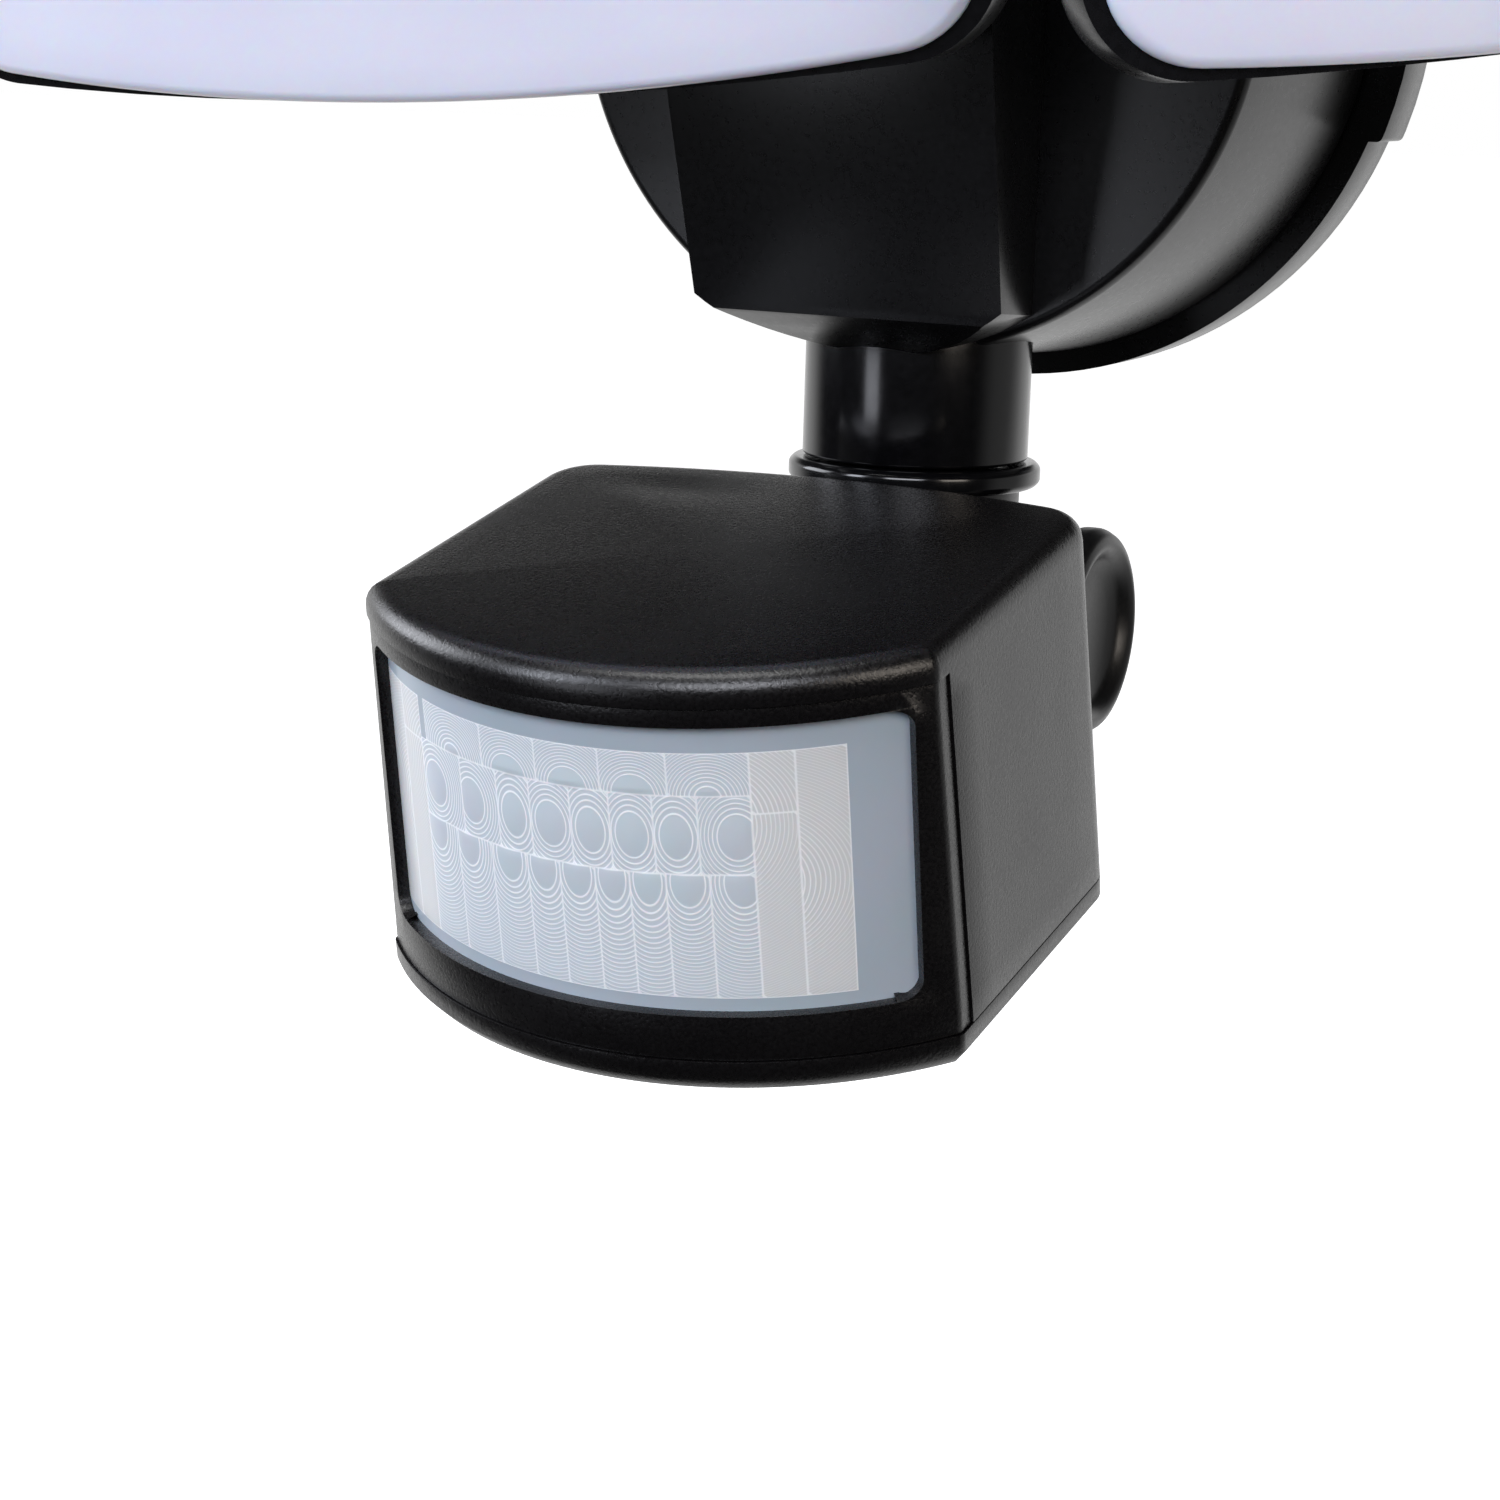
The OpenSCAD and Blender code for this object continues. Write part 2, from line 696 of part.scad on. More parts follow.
module swivel(k) {
    reach = shoulder_x - stub_end - gap;
    color("#161618") shoulder_frame(k) difference() {
        union() {
            translate([0, 0, -gap / 2 - eye_t]) cylinder(r = eye_r, h = eye_t);
            rotate([0, 0, k == LEFT ? 0 : 180]) difference() {
                rod_x(min(eye_t, eye_r - 0.5), 0, reach);
                translate([-1, -eye_r, -gap / 2]) cube([eye_r + 3, 2 * eye_r, 2 * eye_r]);
            }
            rotate([0, 0, k == LEFT ? 0 : 180]) rod_x(stub_bore_r - fit, reach - 2, shoulder_x - spigot_pin_in);
        }
        translate([0, 0, -2 * eye_t]) cylinder(r = bolt_r + fit, h = 3 * eye_t);
    }
}

module arm(k) {
    bar = 12;
    color("#161618") shoulder_frame(k) rotate([0, 0, arm_swing[k]]) translate([0, 0, gap / 2]) difference() {
        union() {
            cylinder(r = eye_r, h = eye_t);
            translate([0, -arm_len, 0]) cylinder(r = eye_r, h = eye_t);
            translate([-bar / 2, -arm_len, 0]) cube([bar, arm_len, eye_t]);
        }
        for (y = [0, -arm_len]) translate([0, y, -1]) cylinder(r = bolt_r + fit, h = eye_t + 2);
    }
}

// A bolt through two stacked eyes, with its head on top and a nut below.
module pivot_bolt() {
    end = gap / 2 + eye_t + fit;
    translate([0, 0, -end - 4]) cylinder(r = bolt_r, h = 2 * end + 4);
    translate([0, 0, end]) cylinder(r = 5.6, h = 3);
    translate([0, 0, -end - 4]) cylinder(r = 6, h = 4, $fn = 6);
}

module shoulder_bolt(k) {
    color("silver") shoulder_frame(k) pivot_bolt();
}

module wrist_bolt(k) {
    color("silver") wrist_frame(k) pivot_bolt();
}

// Face outline of a light head, in X and Z, grown by an amount.
module lamp_outline(grow = 0) {
    w = lamp_w;
    h = lamp_h;
    R = (pow(w / 2, 2) + pow(lamp_sag, 2)) / (2 * lamp_sag);
    offset(r = lamp_corner + grow) offset(delta = -lamp_corner) intersection() {
        square([w, h], center = true);
        translate([0, h / 2 - R]) circle(r = R, $fn = 360);
        translate([0, R - h / 2]) circle(r = R, $fn = 360);
    }
}

// A plate of the outline between two distances behind the face's apex.
module lamp_plate(d0, d1, grow = 0) {
    translate([0, -lamp_reach + d1, 0]) rotate([90, 0, 0]) linear_extrude(d1 - d0) lamp_outline(grow);
}

// The bowed face, moved back by a depth.
module lamp_bow_solid(d = 0) {
    translate([0, lamp_R - lamp_reach, -lamp_h]) cylinder(r = lamp_R - d, h = 2 * lamp_h, $fn = 720);
}

module tray_back_outline(grow = 0) {
    offset(r = 10 + grow) offset(delta = -10) square([tray_back_w, tray_back_h], center = true);
}

// The tray, from inside the opal cover's edge to its flat back, drawn in from the outside by t.
module tray_form(t = 0) {
    union() {
        hull() {
            lamp_plate(0, 0.1, -rim_in - t);
            lamp_plate(tray_flat, tray_flat + 1, skirt_out - t);
        }
        hull() {
            lamp_plate(tray_flat, tray_flat + 1, skirt_out - 1.2 - t);
            translate([0, -lamp_reach + lamp_depth - t, 0]) rotate([90, 0, 0])
                linear_extrude(1) tray_back_outline(-t);
        }
    }
}

module housing(k) {
    seat = diffuser_t + seam;
    color("#17171a") wrist_frame(k) difference() {
        intersection() {
            tray_form();
            lamp_bow_solid(seat);
        }
        intersection() {
            tray_form(tray_wall);
            lamp_bow_solid(seat + 1.5);
        }
        intersection() {
            lamp_plate(-1, tray_flat, -3);
            lamp_bow_solid(-1);
        }
        housing_screw_places() rotate([-90, 0, 0]) cylinder(r = screw_r + fit, h = 8, center = true);
    }
}

module housing_screw_places() {
    for (x = [-14, 14], z = [-14, 14]) translate([x, -lamp_reach + lamp_depth, z]) children();
}

module housing_screws(k) {
    color("silver") wrist_frame(k) housing_screw_places() rotate([-90, 0, 0]) {
        translate([0, 0, -tray_wall - 1]) cylinder(r = screw_r, h = tray_wall + bracket_plate + 2 * fit + 1.2);
        translate([0, 0, bracket_plate + 2 * fit]) cylinder(r = screw_head_r, h = screw_head_h);
    }
}

module lamp_bracket(k) {
    back = -lamp_reach + lamp_depth + fit;
    color("#161618") wrist_frame(k) difference() {
        union() {
            translate([0, 0, -gap / 2 - eye_t]) cylinder(r = eye_r, h = eye_t);
            translate([-6, back, -gap / 2 - eye_t]) cube([12, -back, eye_t]);
            translate([-19, back, -19]) cube([38, bracket_plate, 38]);
        }
        translate([0, 0, -2 * eye_t]) cylinder(r = bolt_r + fit, h = 3 * eye_t);
        translate([0, 0, gap / 2 - 2 * gap]) cylinder(r = eye_r + 1.5, h = eye_t + 6);
        housing_screw_places() rotate([-90, 0, 0]) cylinder(r = screw_r + fit, h = 20, center = true);
    }
}

module led_board(k) {
    depth = tray_flat + 2;
    color("#e9eaec") wrist_frame(k) difference() {
        translate([-led_board_w / 2, -lamp_reach + depth, -led_board_h / 2])
            cube([led_board_w, 1.6, led_board_h]);
        for (x = [-1, 1], z = [-1, 1])
            translate([x * (led_board_w / 2 - 6), -lamp_reach + depth + 1, z * (led_board_h / 2 - 6)])
                rotate([90, 0, 0]) cylinder(r = 1.6, h = 6, center = true);
    }
}

module leds(k) {
    depth = tray_flat + 2 - fit;
    color("#f2e9a8") wrist_frame(k) for (i = [0 : led_cols - 1], j = [0 : led_rows - 1])
        translate([(i - (led_cols - 1) / 2) * led_pitch - led_size / 2, -lamp_reach + depth - 0.8,
                   (j - (led_rows - 1) / 2) * led_pitch - led_size / 2])
            cube([led_size, 0.8, led_size]);
}

module diffuser(k) {
    color("#eef0f6") wrist_frame(k) intersection() {
        lamp_plate(-1, tray_flat);
        difference() {
            lamp_bow_solid();
            lamp_bow_solid(diffuser_t);
        }
    }
}

module left_swivel() { swivel(LEFT); }
module left_shoulder_bolt() { shoulder_bolt(LEFT); }
module left_arm() { arm(LEFT); }
module left_wrist_bolt() { wrist_bolt(LEFT); }
module left_bracket() { lamp_bracket(LEFT); }
module left_housing() { housing(LEFT); }
module left_housing_screws() { housing_screws(LEFT); }
module left_led_board() { led_board(LEFT); }
module left_leds() { leds(LEFT); }
module left_diffuser() { diffuser(LEFT); }
module right_swivel() { swivel(RIGHT); }
module right_shoulder_bolt() { shoulder_bolt(RIGHT); }
module right_arm() { arm(RIGHT); }
module right_wrist_bolt() { wrist_bolt(RIGHT); }
module right_bracket() { lamp_bracket(RIGHT); }
module right_housing() { housing(RIGHT); }
module right_housing_screws() { housing_screws(RIGHT); }
module right_led_board() { led_board(RIGHT); }
module right_leds() { leds(RIGHT); }
module right_diffuser() { diffuser(RIGHT); }

wall_plate();
wall_gasket();
cable_grommet();
terminal_block();
driver_board();
driver_parts();
canopy_drum();
side_screws();
central_block();
block_screws();
neck_tube();
neck_clip();
swivel_collar();
elbow();
snap_ring();
head_bracket();
bracket_screws();
tilt_bolt();
tilt_nut();
tilt_knob();
sensor_shell();
sensor_bezel();
sensor_lens();
sensor_base();
sensor_board();
pir_can();
photocell();
dial_time();
dial_light();
dial_range();
base_screws();
left_swivel();
left_shoulder_bolt();
left_arm();
left_wrist_bolt();
left_bracket();
left_housing();
left_housing_screws();
left_led_board();
left_leds();
left_diffuser();
right_swivel();
right_shoulder_bolt();
right_arm();
right_wrist_bolt();
right_bracket();
right_housing();
right_housing_screws();
right_led_board();
right_leds();
right_diffuser();
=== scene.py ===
import json
import math
from collections import namedtuple

import bmesh
import bpy
from mathutils import Matrix, Vector


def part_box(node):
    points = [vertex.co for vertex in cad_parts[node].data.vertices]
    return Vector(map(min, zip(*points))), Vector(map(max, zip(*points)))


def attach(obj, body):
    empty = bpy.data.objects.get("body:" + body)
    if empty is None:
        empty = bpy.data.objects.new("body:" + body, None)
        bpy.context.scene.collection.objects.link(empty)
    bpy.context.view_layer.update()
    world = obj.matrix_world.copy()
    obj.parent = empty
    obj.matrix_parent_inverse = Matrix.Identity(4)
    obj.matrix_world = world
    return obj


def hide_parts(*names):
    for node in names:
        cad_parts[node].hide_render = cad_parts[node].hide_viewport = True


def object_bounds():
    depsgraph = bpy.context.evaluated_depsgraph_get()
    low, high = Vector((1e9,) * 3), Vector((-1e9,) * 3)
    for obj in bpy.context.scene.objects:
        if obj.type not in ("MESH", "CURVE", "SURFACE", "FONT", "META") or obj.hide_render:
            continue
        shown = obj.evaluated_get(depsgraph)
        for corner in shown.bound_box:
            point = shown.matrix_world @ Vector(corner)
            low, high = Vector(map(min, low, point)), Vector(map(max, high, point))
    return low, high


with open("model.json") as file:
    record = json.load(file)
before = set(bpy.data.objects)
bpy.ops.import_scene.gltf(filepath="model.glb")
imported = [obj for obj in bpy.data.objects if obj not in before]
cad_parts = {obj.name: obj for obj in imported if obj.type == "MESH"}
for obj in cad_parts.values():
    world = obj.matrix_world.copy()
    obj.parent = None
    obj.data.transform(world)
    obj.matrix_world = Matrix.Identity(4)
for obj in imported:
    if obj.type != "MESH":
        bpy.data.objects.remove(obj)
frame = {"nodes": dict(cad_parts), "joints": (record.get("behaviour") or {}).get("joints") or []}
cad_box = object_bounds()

MM = 0.001
joint_at = {joint["name"]: Vector(joint["pos_m"]) for joint in frame["joints"]}
joint_axis = {joint["name"]: Vector(joint["axis"]) for joint in frame["joints"]}

# ---- Camera ----
# A short telephoto view from the front left, a little above the light, looking at the sensor head.
camera_turn = math.radians(26.02)
camera_pitch = math.radians(12.31)
camera_roll = math.radians(1.72)
camera_place = Vector((195.16, -500.96, -8.08)) * MM
ahead = Vector((-math.sin(camera_turn) * math.cos(camera_pitch),
                math.cos(camera_turn) * math.cos(camera_pitch), -math.sin(camera_pitch)))
level_right = Vector((math.cos(camera_turn), math.sin(camera_turn), 0))
level_up = level_right.cross(ahead)
right = level_right * math.cos(camera_roll) + level_up * math.sin(camera_roll)
up = level_up * math.cos(camera_roll) - level_right * math.sin(camera_roll)
camera = bpy.data.objects.new("camera", bpy.data.cameras.new("camera"))
camera.data.lens = 79.0
camera.data.sensor_width = 36
camera.data.clip_start = 0.01
axes = Matrix((right, up, -ahead)).transposed()
camera.matrix_world = Matrix.Translation(camera_place) @ axes.to_4x4()
bpy.context.scene.collection.objects.link(camera)
bpy.context.scene.camera = camera

# ---- Wall plate ----
# The round back plate screws to the wall over a rubber ring, and the cable comes in through a grommet.
# It is moulded in black polycarbonate, so its edges are softly rounded and its skin is satin.


def linear(hex_colour):
    """Turns an sRGB hex colour into a linear one."""
    parts = [int(hex_colour[i:i + 2], 16) / 255 for i in (1, 3, 5)]
    return [c / 12.92 if c <= 0.04045 else ((c + 0.055) / 1.055) ** 2.4 for c in parts] + [1.0]


def add_node(material, kind, inputs=None, **settings):
    """Adds a node. Settings are its own properties, and inputs are values or (node, output) links."""
    tree = material.node_tree
    node = tree.nodes.new(kind)
    for name, value in settings.items():
        setattr(node, name, value)
    for name, value in (inputs or {}).items():
        if isinstance(value, tuple) and hasattr(value[0], "outputs"):
            tree.links.new(value[0].outputs[value[1]], node.inputs[name])
        else:
            node.inputs[name].default_value = value
    return node


def surface(name, **values):
    """A new material, with its shader's plain values set on the shader itself."""
    material = bpy.data.materials.new(name)
    material.use_nodes = True
    shader = material.node_tree.nodes["Principled BSDF"]
    for key, value in values.items():
        shader.inputs[key.replace("_", " ")].default_value = value
    return material, shader


def feed(material, node, output, target, socket):
    material.node_tree.links.new(node.outputs[output], target.inputs[socket])


def moulded(name, dark, light, grain_mm, depth_mm, rough, **values):
    """Moulded plastic: a fine cast grain, and a broad drift in colour and gloss from the flow."""
    flow_mm = 26
    material, shader = surface(name, **values)
    place = add_node(material, "ShaderNodeTexCoord")
    grain = add_node(material, "ShaderNodeTexNoise",
                     {"Vector": (place, "Object"), "Scale": 1 / (grain_mm * MM), "Detail": 3.0,
                      "Roughness": 0.6})
    flow = add_node(material, "ShaderNodeTexNoise",
                    {"Vector": (place, "Object"), "Scale": 1 / (flow_mm * MM), "Detail": 2.0})
    both = add_node(material, "ShaderNodeMix", {"Factor": 0.35, "A": (grain, "Fac"), "B": (flow, "Fac")})
    tint = add_node(material, "ShaderNodeValToRGB", {"Fac": (both, "Result")})
    tint.color_ramp.elements[0].position = 0.34
    tint.color_ramp.elements[0].color = linear(dark)
    tint.color_ramp.elements[1].position = 0.66
    tint.color_ramp.elements[1].color = linear(light)
    feed(material, tint, "Color", shader, "Base Color")
    gloss = add_node(material, "ShaderNodeMapRange",
                     {"Value": (both, "Result"), "From Min": 0.3, "From Max": 0.7,
                      "To Min": rough[0], "To Max": rough[1]})
    feed(material, gloss, "Result", shader, "Roughness")
    bump = add_node(material, "ShaderNodeBump",
                    {"Height": (grain, "Fac"), "Strength": 0.8, "Distance": depth_mm * MM})
    feed(material, bump, "Normal", shader, "Normal")
    return material


def paint(thing, material):
    thing.data.materials.clear()
    thing.data.materials.append(material)
    return thing


def dress(node, material):
    """Gives a node of the fixed frame its finish."""
    thing = frame["nodes"][node]
    for slot in thing.material_slots:
        slot.material = material
    if not thing.material_slots:
        thing.data.materials.append(material)


def settle(thing, angle=30):
    """Applies a piece's modifiers and smooths its faces up to an angle."""
    bpy.context.view_layer.update()
    view = bpy.context.evaluated_depsgraph_get()
    mesh = bpy.data.meshes.new_from_object(thing.evaluated_get(view), depsgraph=view)
    thing.modifiers.clear()
    thing.data = mesh
    mesh.shade_smooth()
    mesh.set_sharp_from_angle(angle=math.radians(angle))
    return thing


def seat(thing, body, slot, *nodes):
    """Fixes a finished piece to its body and hides the nodes that it stands for. The slot is not used."""
    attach(thing, body)
    if nodes:
        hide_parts(*nodes)
    return thing


def softened(node, name, radius, body, slot, material, angle=32):
    """A copy of a frame node with its sharp mould edges rounded, as a polished mould leaves them."""
    mesh = frame["nodes"][node].data.copy()
    form = bmesh.new()
    form.from_mesh(mesh)
    bmesh.ops.remove_doubles(form, verts=form.verts, dist=0.002 * MM)
    bmesh.ops.dissolve_limit(form, angle_limit=math.radians(0.6), verts=form.verts, edges=form.edges)
    form.to_mesh(mesh)
    form.free()
    thing = bpy.data.objects.new(name, mesh)
    bpy.context.scene.collection.objects.link(thing)
    edge = thing.modifiers.new("edge", "BEVEL")
    edge.width = radius * MM
    edge.segments = 3
    edge.limit_method = "ANGLE"
    edge.angle_limit = math.radians(angle)
    edge.use_clamp_overlap = True
    settle(thing, 34)
    paint(thing, material)
    return seat(thing, body, slot, node)


# Polycarbonate blend, moulded satin: black with a soft sheen that brightens at a low angle.
satin_moulded = moulded("polycarbonate_moulded_satin", "#050506", "#09090b", 0.9, 0.006, (0.25, 0.33),
                        IOR=1.5)
softened("wall_plate", "back_plate", 0.4, "base", "black_satin_plastic", satin_moulded)

# EPDM rubber, moulded soft: dull, dark and slightly dusty.
epdm_moulded = moulded("epdm_rubber_moulded", "#1c1c1c", "#2b2b2a", 0.7, 0.02, (0.72, 0.9), IOR=1.52)
dress("wall_gasket", epdm_moulded)
softened("cable_grommet", "grommet", 0.4, "base", "rubber", epdm_moulded)

# ---- Canopy drum ----
# The drum is a deep moulded cup that slips over the plate's rim, with a shadow groove between them.
# Two small screws in the side lugs hold it.
def turned(name, profile, round_mm=0.5, around=96):
    """A turned piece about Z. The profile is (radius, height) points in mm, from the axis back to it."""
    form = bmesh.new()
    rings = []
    for radius, height in profile:
        if radius < 1e-6:
            rings.append([form.verts.new((0, 0, height * MM))])
        else:
            rings.append([form.verts.new((radius * MM * math.cos(2 * math.pi * i / around),
                                          radius * MM * math.sin(2 * math.pi * i / around), height * MM))
                          for i in range(around)])
    for low, high in zip(rings, rings[1:]):
        for i in range(around):
            j = (i + 1) % around
            corners = [low[i % len(low)], low[j % len(low)], high[j % len(high)], high[i % len(high)]]
            form.faces.new(list(dict.fromkeys(corners)))
    bmesh.ops.recalc_face_normals(form, faces=form.faces)
    mesh = bpy.data.meshes.new(name)
    form.to_mesh(mesh)
    form.free()
    thing = bpy.data.objects.new(name, mesh)
    bpy.context.scene.collection.objects.link(thing)
    if round_mm:
        edge = thing.modifiers.new("edge", "BEVEL")
        edge.width = round_mm * MM
        edge.segments = 4
        edge.limit_method = "ANGLE"
        edge.angle_limit = math.radians(24)
    return thing


def cut(thing, *tools):
    """Cuts other shapes out of a piece, and removes them."""
    for tool in tools:
        hole = thing.modifiers.new("hole", "BOOLEAN")
        hole.operation = "DIFFERENCE"
        hole.solver = "EXACT"
        hole.object = tool
    settle(thing)
    for tool in tools:
        bpy.data.objects.remove(tool)
    return thing


drum_low, drum_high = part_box("canopy_drum")
drum_wide = (drum_high.x - drum_low.x) / 2 / MM
drum_back, drum_front = -drum_high.y / MM, -drum_low.y / MM
drum_face_wide = 53.4
drum_skin = 2.5
drum = turned("drum", [
    (0, drum_front), (drum_face_wide - 0.9, drum_front), (drum_face_wide, drum_front - 1.2),
    (drum_wide, drum_back), (drum_wide - 2.4, drum_back), (drum_wide - 2.6, drum_back + 9),
    (drum_face_wide - 2.6, drum_front - drum_skin), (0, drum_front - drum_skin)], 0.7, 192)
drum.data.transform(Matrix.Rotation(math.pi / 2, 4, "X"))
settle(drum)
neck_low, neck_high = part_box("neck_tube")
neck_middle = (neck_low + neck_high) / 2
neck_hole = 16.95
neck_hole_deep = 40
neck_tool = turned("neck_tool", [(0, 0), (neck_hole, 0), (neck_hole, neck_hole_deep), (0, neck_hole_deep)], 0)
neck_tool.data.transform(Matrix.Translation((neck_middle.x, neck_middle.y, neck_low.z)))
cut(drum, neck_tool)
paint(drum, satin_moulded)
seat(drum, "base", "black_satin_plastic", "canopy_drum")


def plated(name, low, high, rough, speck_mm):
    """Plated steel: bright, with fine crystals and soft clouds that break its reflection."""
    cloud_mm = 3
    material, shader = surface(name, Metallic=1.0)
    place = add_node(material, "ShaderNodeTexCoord")
    speck = add_node(material, "ShaderNodeTexVoronoi",
                     {"Vector": (place, "Object"), "Scale": 1 / (speck_mm * MM)})
    cloud = add_node(material, "ShaderNodeTexNoise",
                     {"Vector": (place, "Object"), "Scale": 1 / (cloud_mm * MM), "Detail": 4.0})
    both = add_node(material, "ShaderNodeMix", {"Factor": 0.6, "A": (speck, "Distance"), "B": (cloud, "Fac")})
    tint = add_node(material, "ShaderNodeValToRGB", {"Fac": (both, "Result")})
    tint.color_ramp.elements[0].color = linear(low)
    tint.color_ramp.elements[1].color = linear(high)
    feed(material, tint, "Color", shader, "Base Color")
    gloss = add_node(material, "ShaderNodeMapRange",
                     {"Value": (both, "Result"), "To Min": rough[0], "To Max": rough[1]})
    feed(material, gloss, "Result", shader, "Roughness")
    bump = add_node(material, "ShaderNodeBump",
                    {"Height": (cloud, "Fac"), "Strength": 0.3, "Distance": 0.01 * MM})
    feed(material, bump, "Normal", shader, "Normal")
    return material


# Steel, zinc plated: pale, faintly blue and clouded.
zinc_plated = plated("steel_zinc_plated", "#8f949a", "#c9ccd0", (0.24, 0.42), 0.6)
for node in ("side_screws", "block_screws", "neck_clip", "snap_ring", "tilt_bolt", "tilt_nut",
             "bracket_screws", "base_screws"):
    dress(node, zinc_plated)

# Inside the drum: the mains terminals, and the driver's board with its coil, cans and film block.
# Polyamide, moulded white: slightly waxy.
white_polyamide = moulded("polyamide_moulded_white", "#d9d8d2", "#efeee9", 0.8, 0.01, (0.35, 0.5),
                          Subsurface_Weight=0.1)
dress("terminal_block", white_polyamide)
# Glass epoxy board, coated in green solder mask: glossy, with a faint weave under the lacquer.
green_mask = moulded("solder_mask_green", "#123d22", "#1e5c33", 0.5, 0.008, (0.2, 0.35), Coat_Weight=0.3)
dress("driver_board", green_mask)
dress("sensor_board", green_mask)
# Varnished coil, cans and film block: dark amber tape with a lacquered sheen.
varnished = moulded("polyester_tape_varnished", "#4b3b16", "#8a6f2c", 0.6, 0.02, (0.25, 0.45),
                    Coat_Weight=0.2)
dress("driver_parts", varnished)

# ---- Central block ----
# The block stands on the drum's face and carries both shoulders. Its sides spread towards the front,
# and its lower edge is bowed. It is one moulding, held by four screws from inside the drum.
softened("central_block", "block", 0.7, "base", "black_satin_plastic", satin_moulded)

# ---- Neck and swivel collar ----
# A glossy tube pushes up through the drum and is held by a clip inside. The collar turns under it,
# together with the knuckle, whose stem goes up into the tube.
# Polycarbonate, moulded in a polished mould: dark with clear, soft-edged reflections.
polished_moulded = moulded("polycarbonate_moulded_polished", "#050506", "#08080a", 1.4, 0.003, (0.14, 0.2),
                           IOR=1.5)
softened("neck_tube", "neck", 0.5, "base", "black_satin_plastic", polished_moulded)
softened("swivel_collar", "collar", 0.35, "sensor_arm", "black_satin_plastic", polished_moulded)

# ---- Tilt knuckle ----
# The elbow's barrel sits between two ears of the head's bracket. A dished knob on a steel bolt clamps
# them, and is slackened to tilt the head.
# Glass-filled nylon, moulded: black, a little drier than the covers.
nylon_moulded = moulded("nylon_moulded_black", "#070708", "#0d0d0e", 0.6, 0.008, (0.3, 0.4), IOR=1.53)
softened("elbow", "knuckle_barrel", 0.6, "sensor_arm", "black_knuckle_plastic", nylon_moulded)
softened("head_bracket", "bracket_ears", 0.6, "sensor_head", "black_knuckle_plastic", nylon_moulded)

pivot = joint_at["sensor_tilt"]
knob_low, knob_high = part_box("tilt_knob")
knob_radius = (knob_high.z - knob_low.z) / 2 / MM
knob_length = (knob_high.x - knob_low.x) / MM
knob = turned("clamp_knob", [
    (0, 0), (knob_radius - 2.6, 0), (knob_radius - 1.5, 1.0), (knob_radius - 1.5, 2.6),
    (knob_radius - 2.4, 3.5), (knob_radius - 0.7, 4.6), (knob_radius, 6.0), (knob_radius, knob_length - 2.2),
    (knob_radius - 0.9, knob_length - 0.6), (knob_radius - 2.4, knob_length),
    (knob_radius - 3.6, knob_length - 0.7), (knob_radius - 4.6, knob_length - 2.0),
    (knob_radius - 6.4, knob_length - 2.9), (0, knob_length - 3.3)])
knob_place = Matrix.Translation((knob_low.x, pivot.y, pivot.z)) @ Matrix.Rotation(math.pi / 2, 4, "Y")
knob.data.transform(knob_place)
paint(settle(knob, 40), nylon_moulded)
seat(knob, "clamp_knob", "black_knuckle_plastic", "tilt_knob")

# ---- Sensor head shell ----
# The cap, sides and back are one moulding with a rounded top edge and round rear corners. The front
# of the cap hangs over the bezel as a lip, and the sides stop at a seam just behind the front corners.
head_axis = joint_axis["light_dial_turn"]
head_lean = math.atan2(-head_axis.y, head_axis.z)
head_top = Vector((0, -24, 28.1)) * MM
head_place = (Matrix.Translation(pivot) @ Matrix.Rotation(head_lean, 4, "X")
              @ Matrix.Translation(head_top))
head_width = 83
head_base_width = 86
head_height = 53
head_side = 55
head_bow = 20
back_bulge = 4
rear_corner = 8
side_end = -7
shell = 2.4
lip = 4.6
seam_line = -head_side + 3.4


def width_at(depth):
    return head_width + (head_base_width - head_width) * depth / head_height


def arc(centre, radius, start, end, steps):
    """Points on an arc, in degrees, with both ends."""
    turn = [math.radians(start + (end - start) * i / steps) for i in range(steps + 1)]
    return [(centre[0] + radius * math.cos(t), centre[1] + radius * math.sin(t)) for t in turn]


def back_half(width, inset=0.0):
    """The head's plan from the right seam round the back to the left seam."""
    half = width / 2 - inset
    corner = rear_corner - inset
    hub = half - corner
    reach = back_bulge - side_end
    bulge = (hub ** 2 + reach ** 2 - rear_corner ** 2) / (2 * (reach - rear_corner))
    sweep = math.degrees(math.asin(hub / (bulge - rear_corner)))
    side = [(half, seam_line + (side_end - seam_line) * i / 6) for i in range(6)]
    right_side = side + arc((hub, side_end), corner, 0, 90 - sweep, 8)
    back = arc((0, back_bulge - bulge), bulge - inset, 90 - sweep, 90 + sweep, 24)[1:-1]
    return right_side + back + [(-x, y) for x, y in reversed(right_side)]


def front_half(width, inset=0.0, window=None):
    """The head's plan from the left seam round the front to the right seam."""
    half = width / 2 - inset
    bow = ((width / 2) ** 2 + head_bow ** 2) / (2 * head_bow)
    centre = bow - head_side - head_bow
    radius = bow - inset
    corner = max(2 - inset, 0.4)
    hub = centre - math.sqrt((radius - corner) ** 2 - (half - corner) ** 2)
    sweep = math.degrees(math.atan2(centre - hub, half - corner))
    turn = arc((half - corner, hub), corner, -sweep, 0, 6)
    reach = 90 - sweep
    if window:
        edge = math.degrees(math.asin(window / radius))
        front = arc((0, centre), radius, -90 - edge, -90 + edge, 48)
    else:
        front = arc((0, centre), radius, -90 - reach, -90 + reach, 50)[1:-1]
    left_turn = [(-x, y) for x, y in reversed(turn)]
    return [(-half, seam_line)] + left_turn + front + turn + [(half, seam_line)]


def build(name, points, faces):
    """An object from points in mm and faces."""
    mesh = bpy.data.meshes.new(name)
    mesh.from_pydata([Vector(p) * MM for p in points], [], faces)
    mesh.update()
    thing = bpy.data.objects.new(name, mesh)
    bpy.context.scene.collection.objects.link(thing)
    return thing


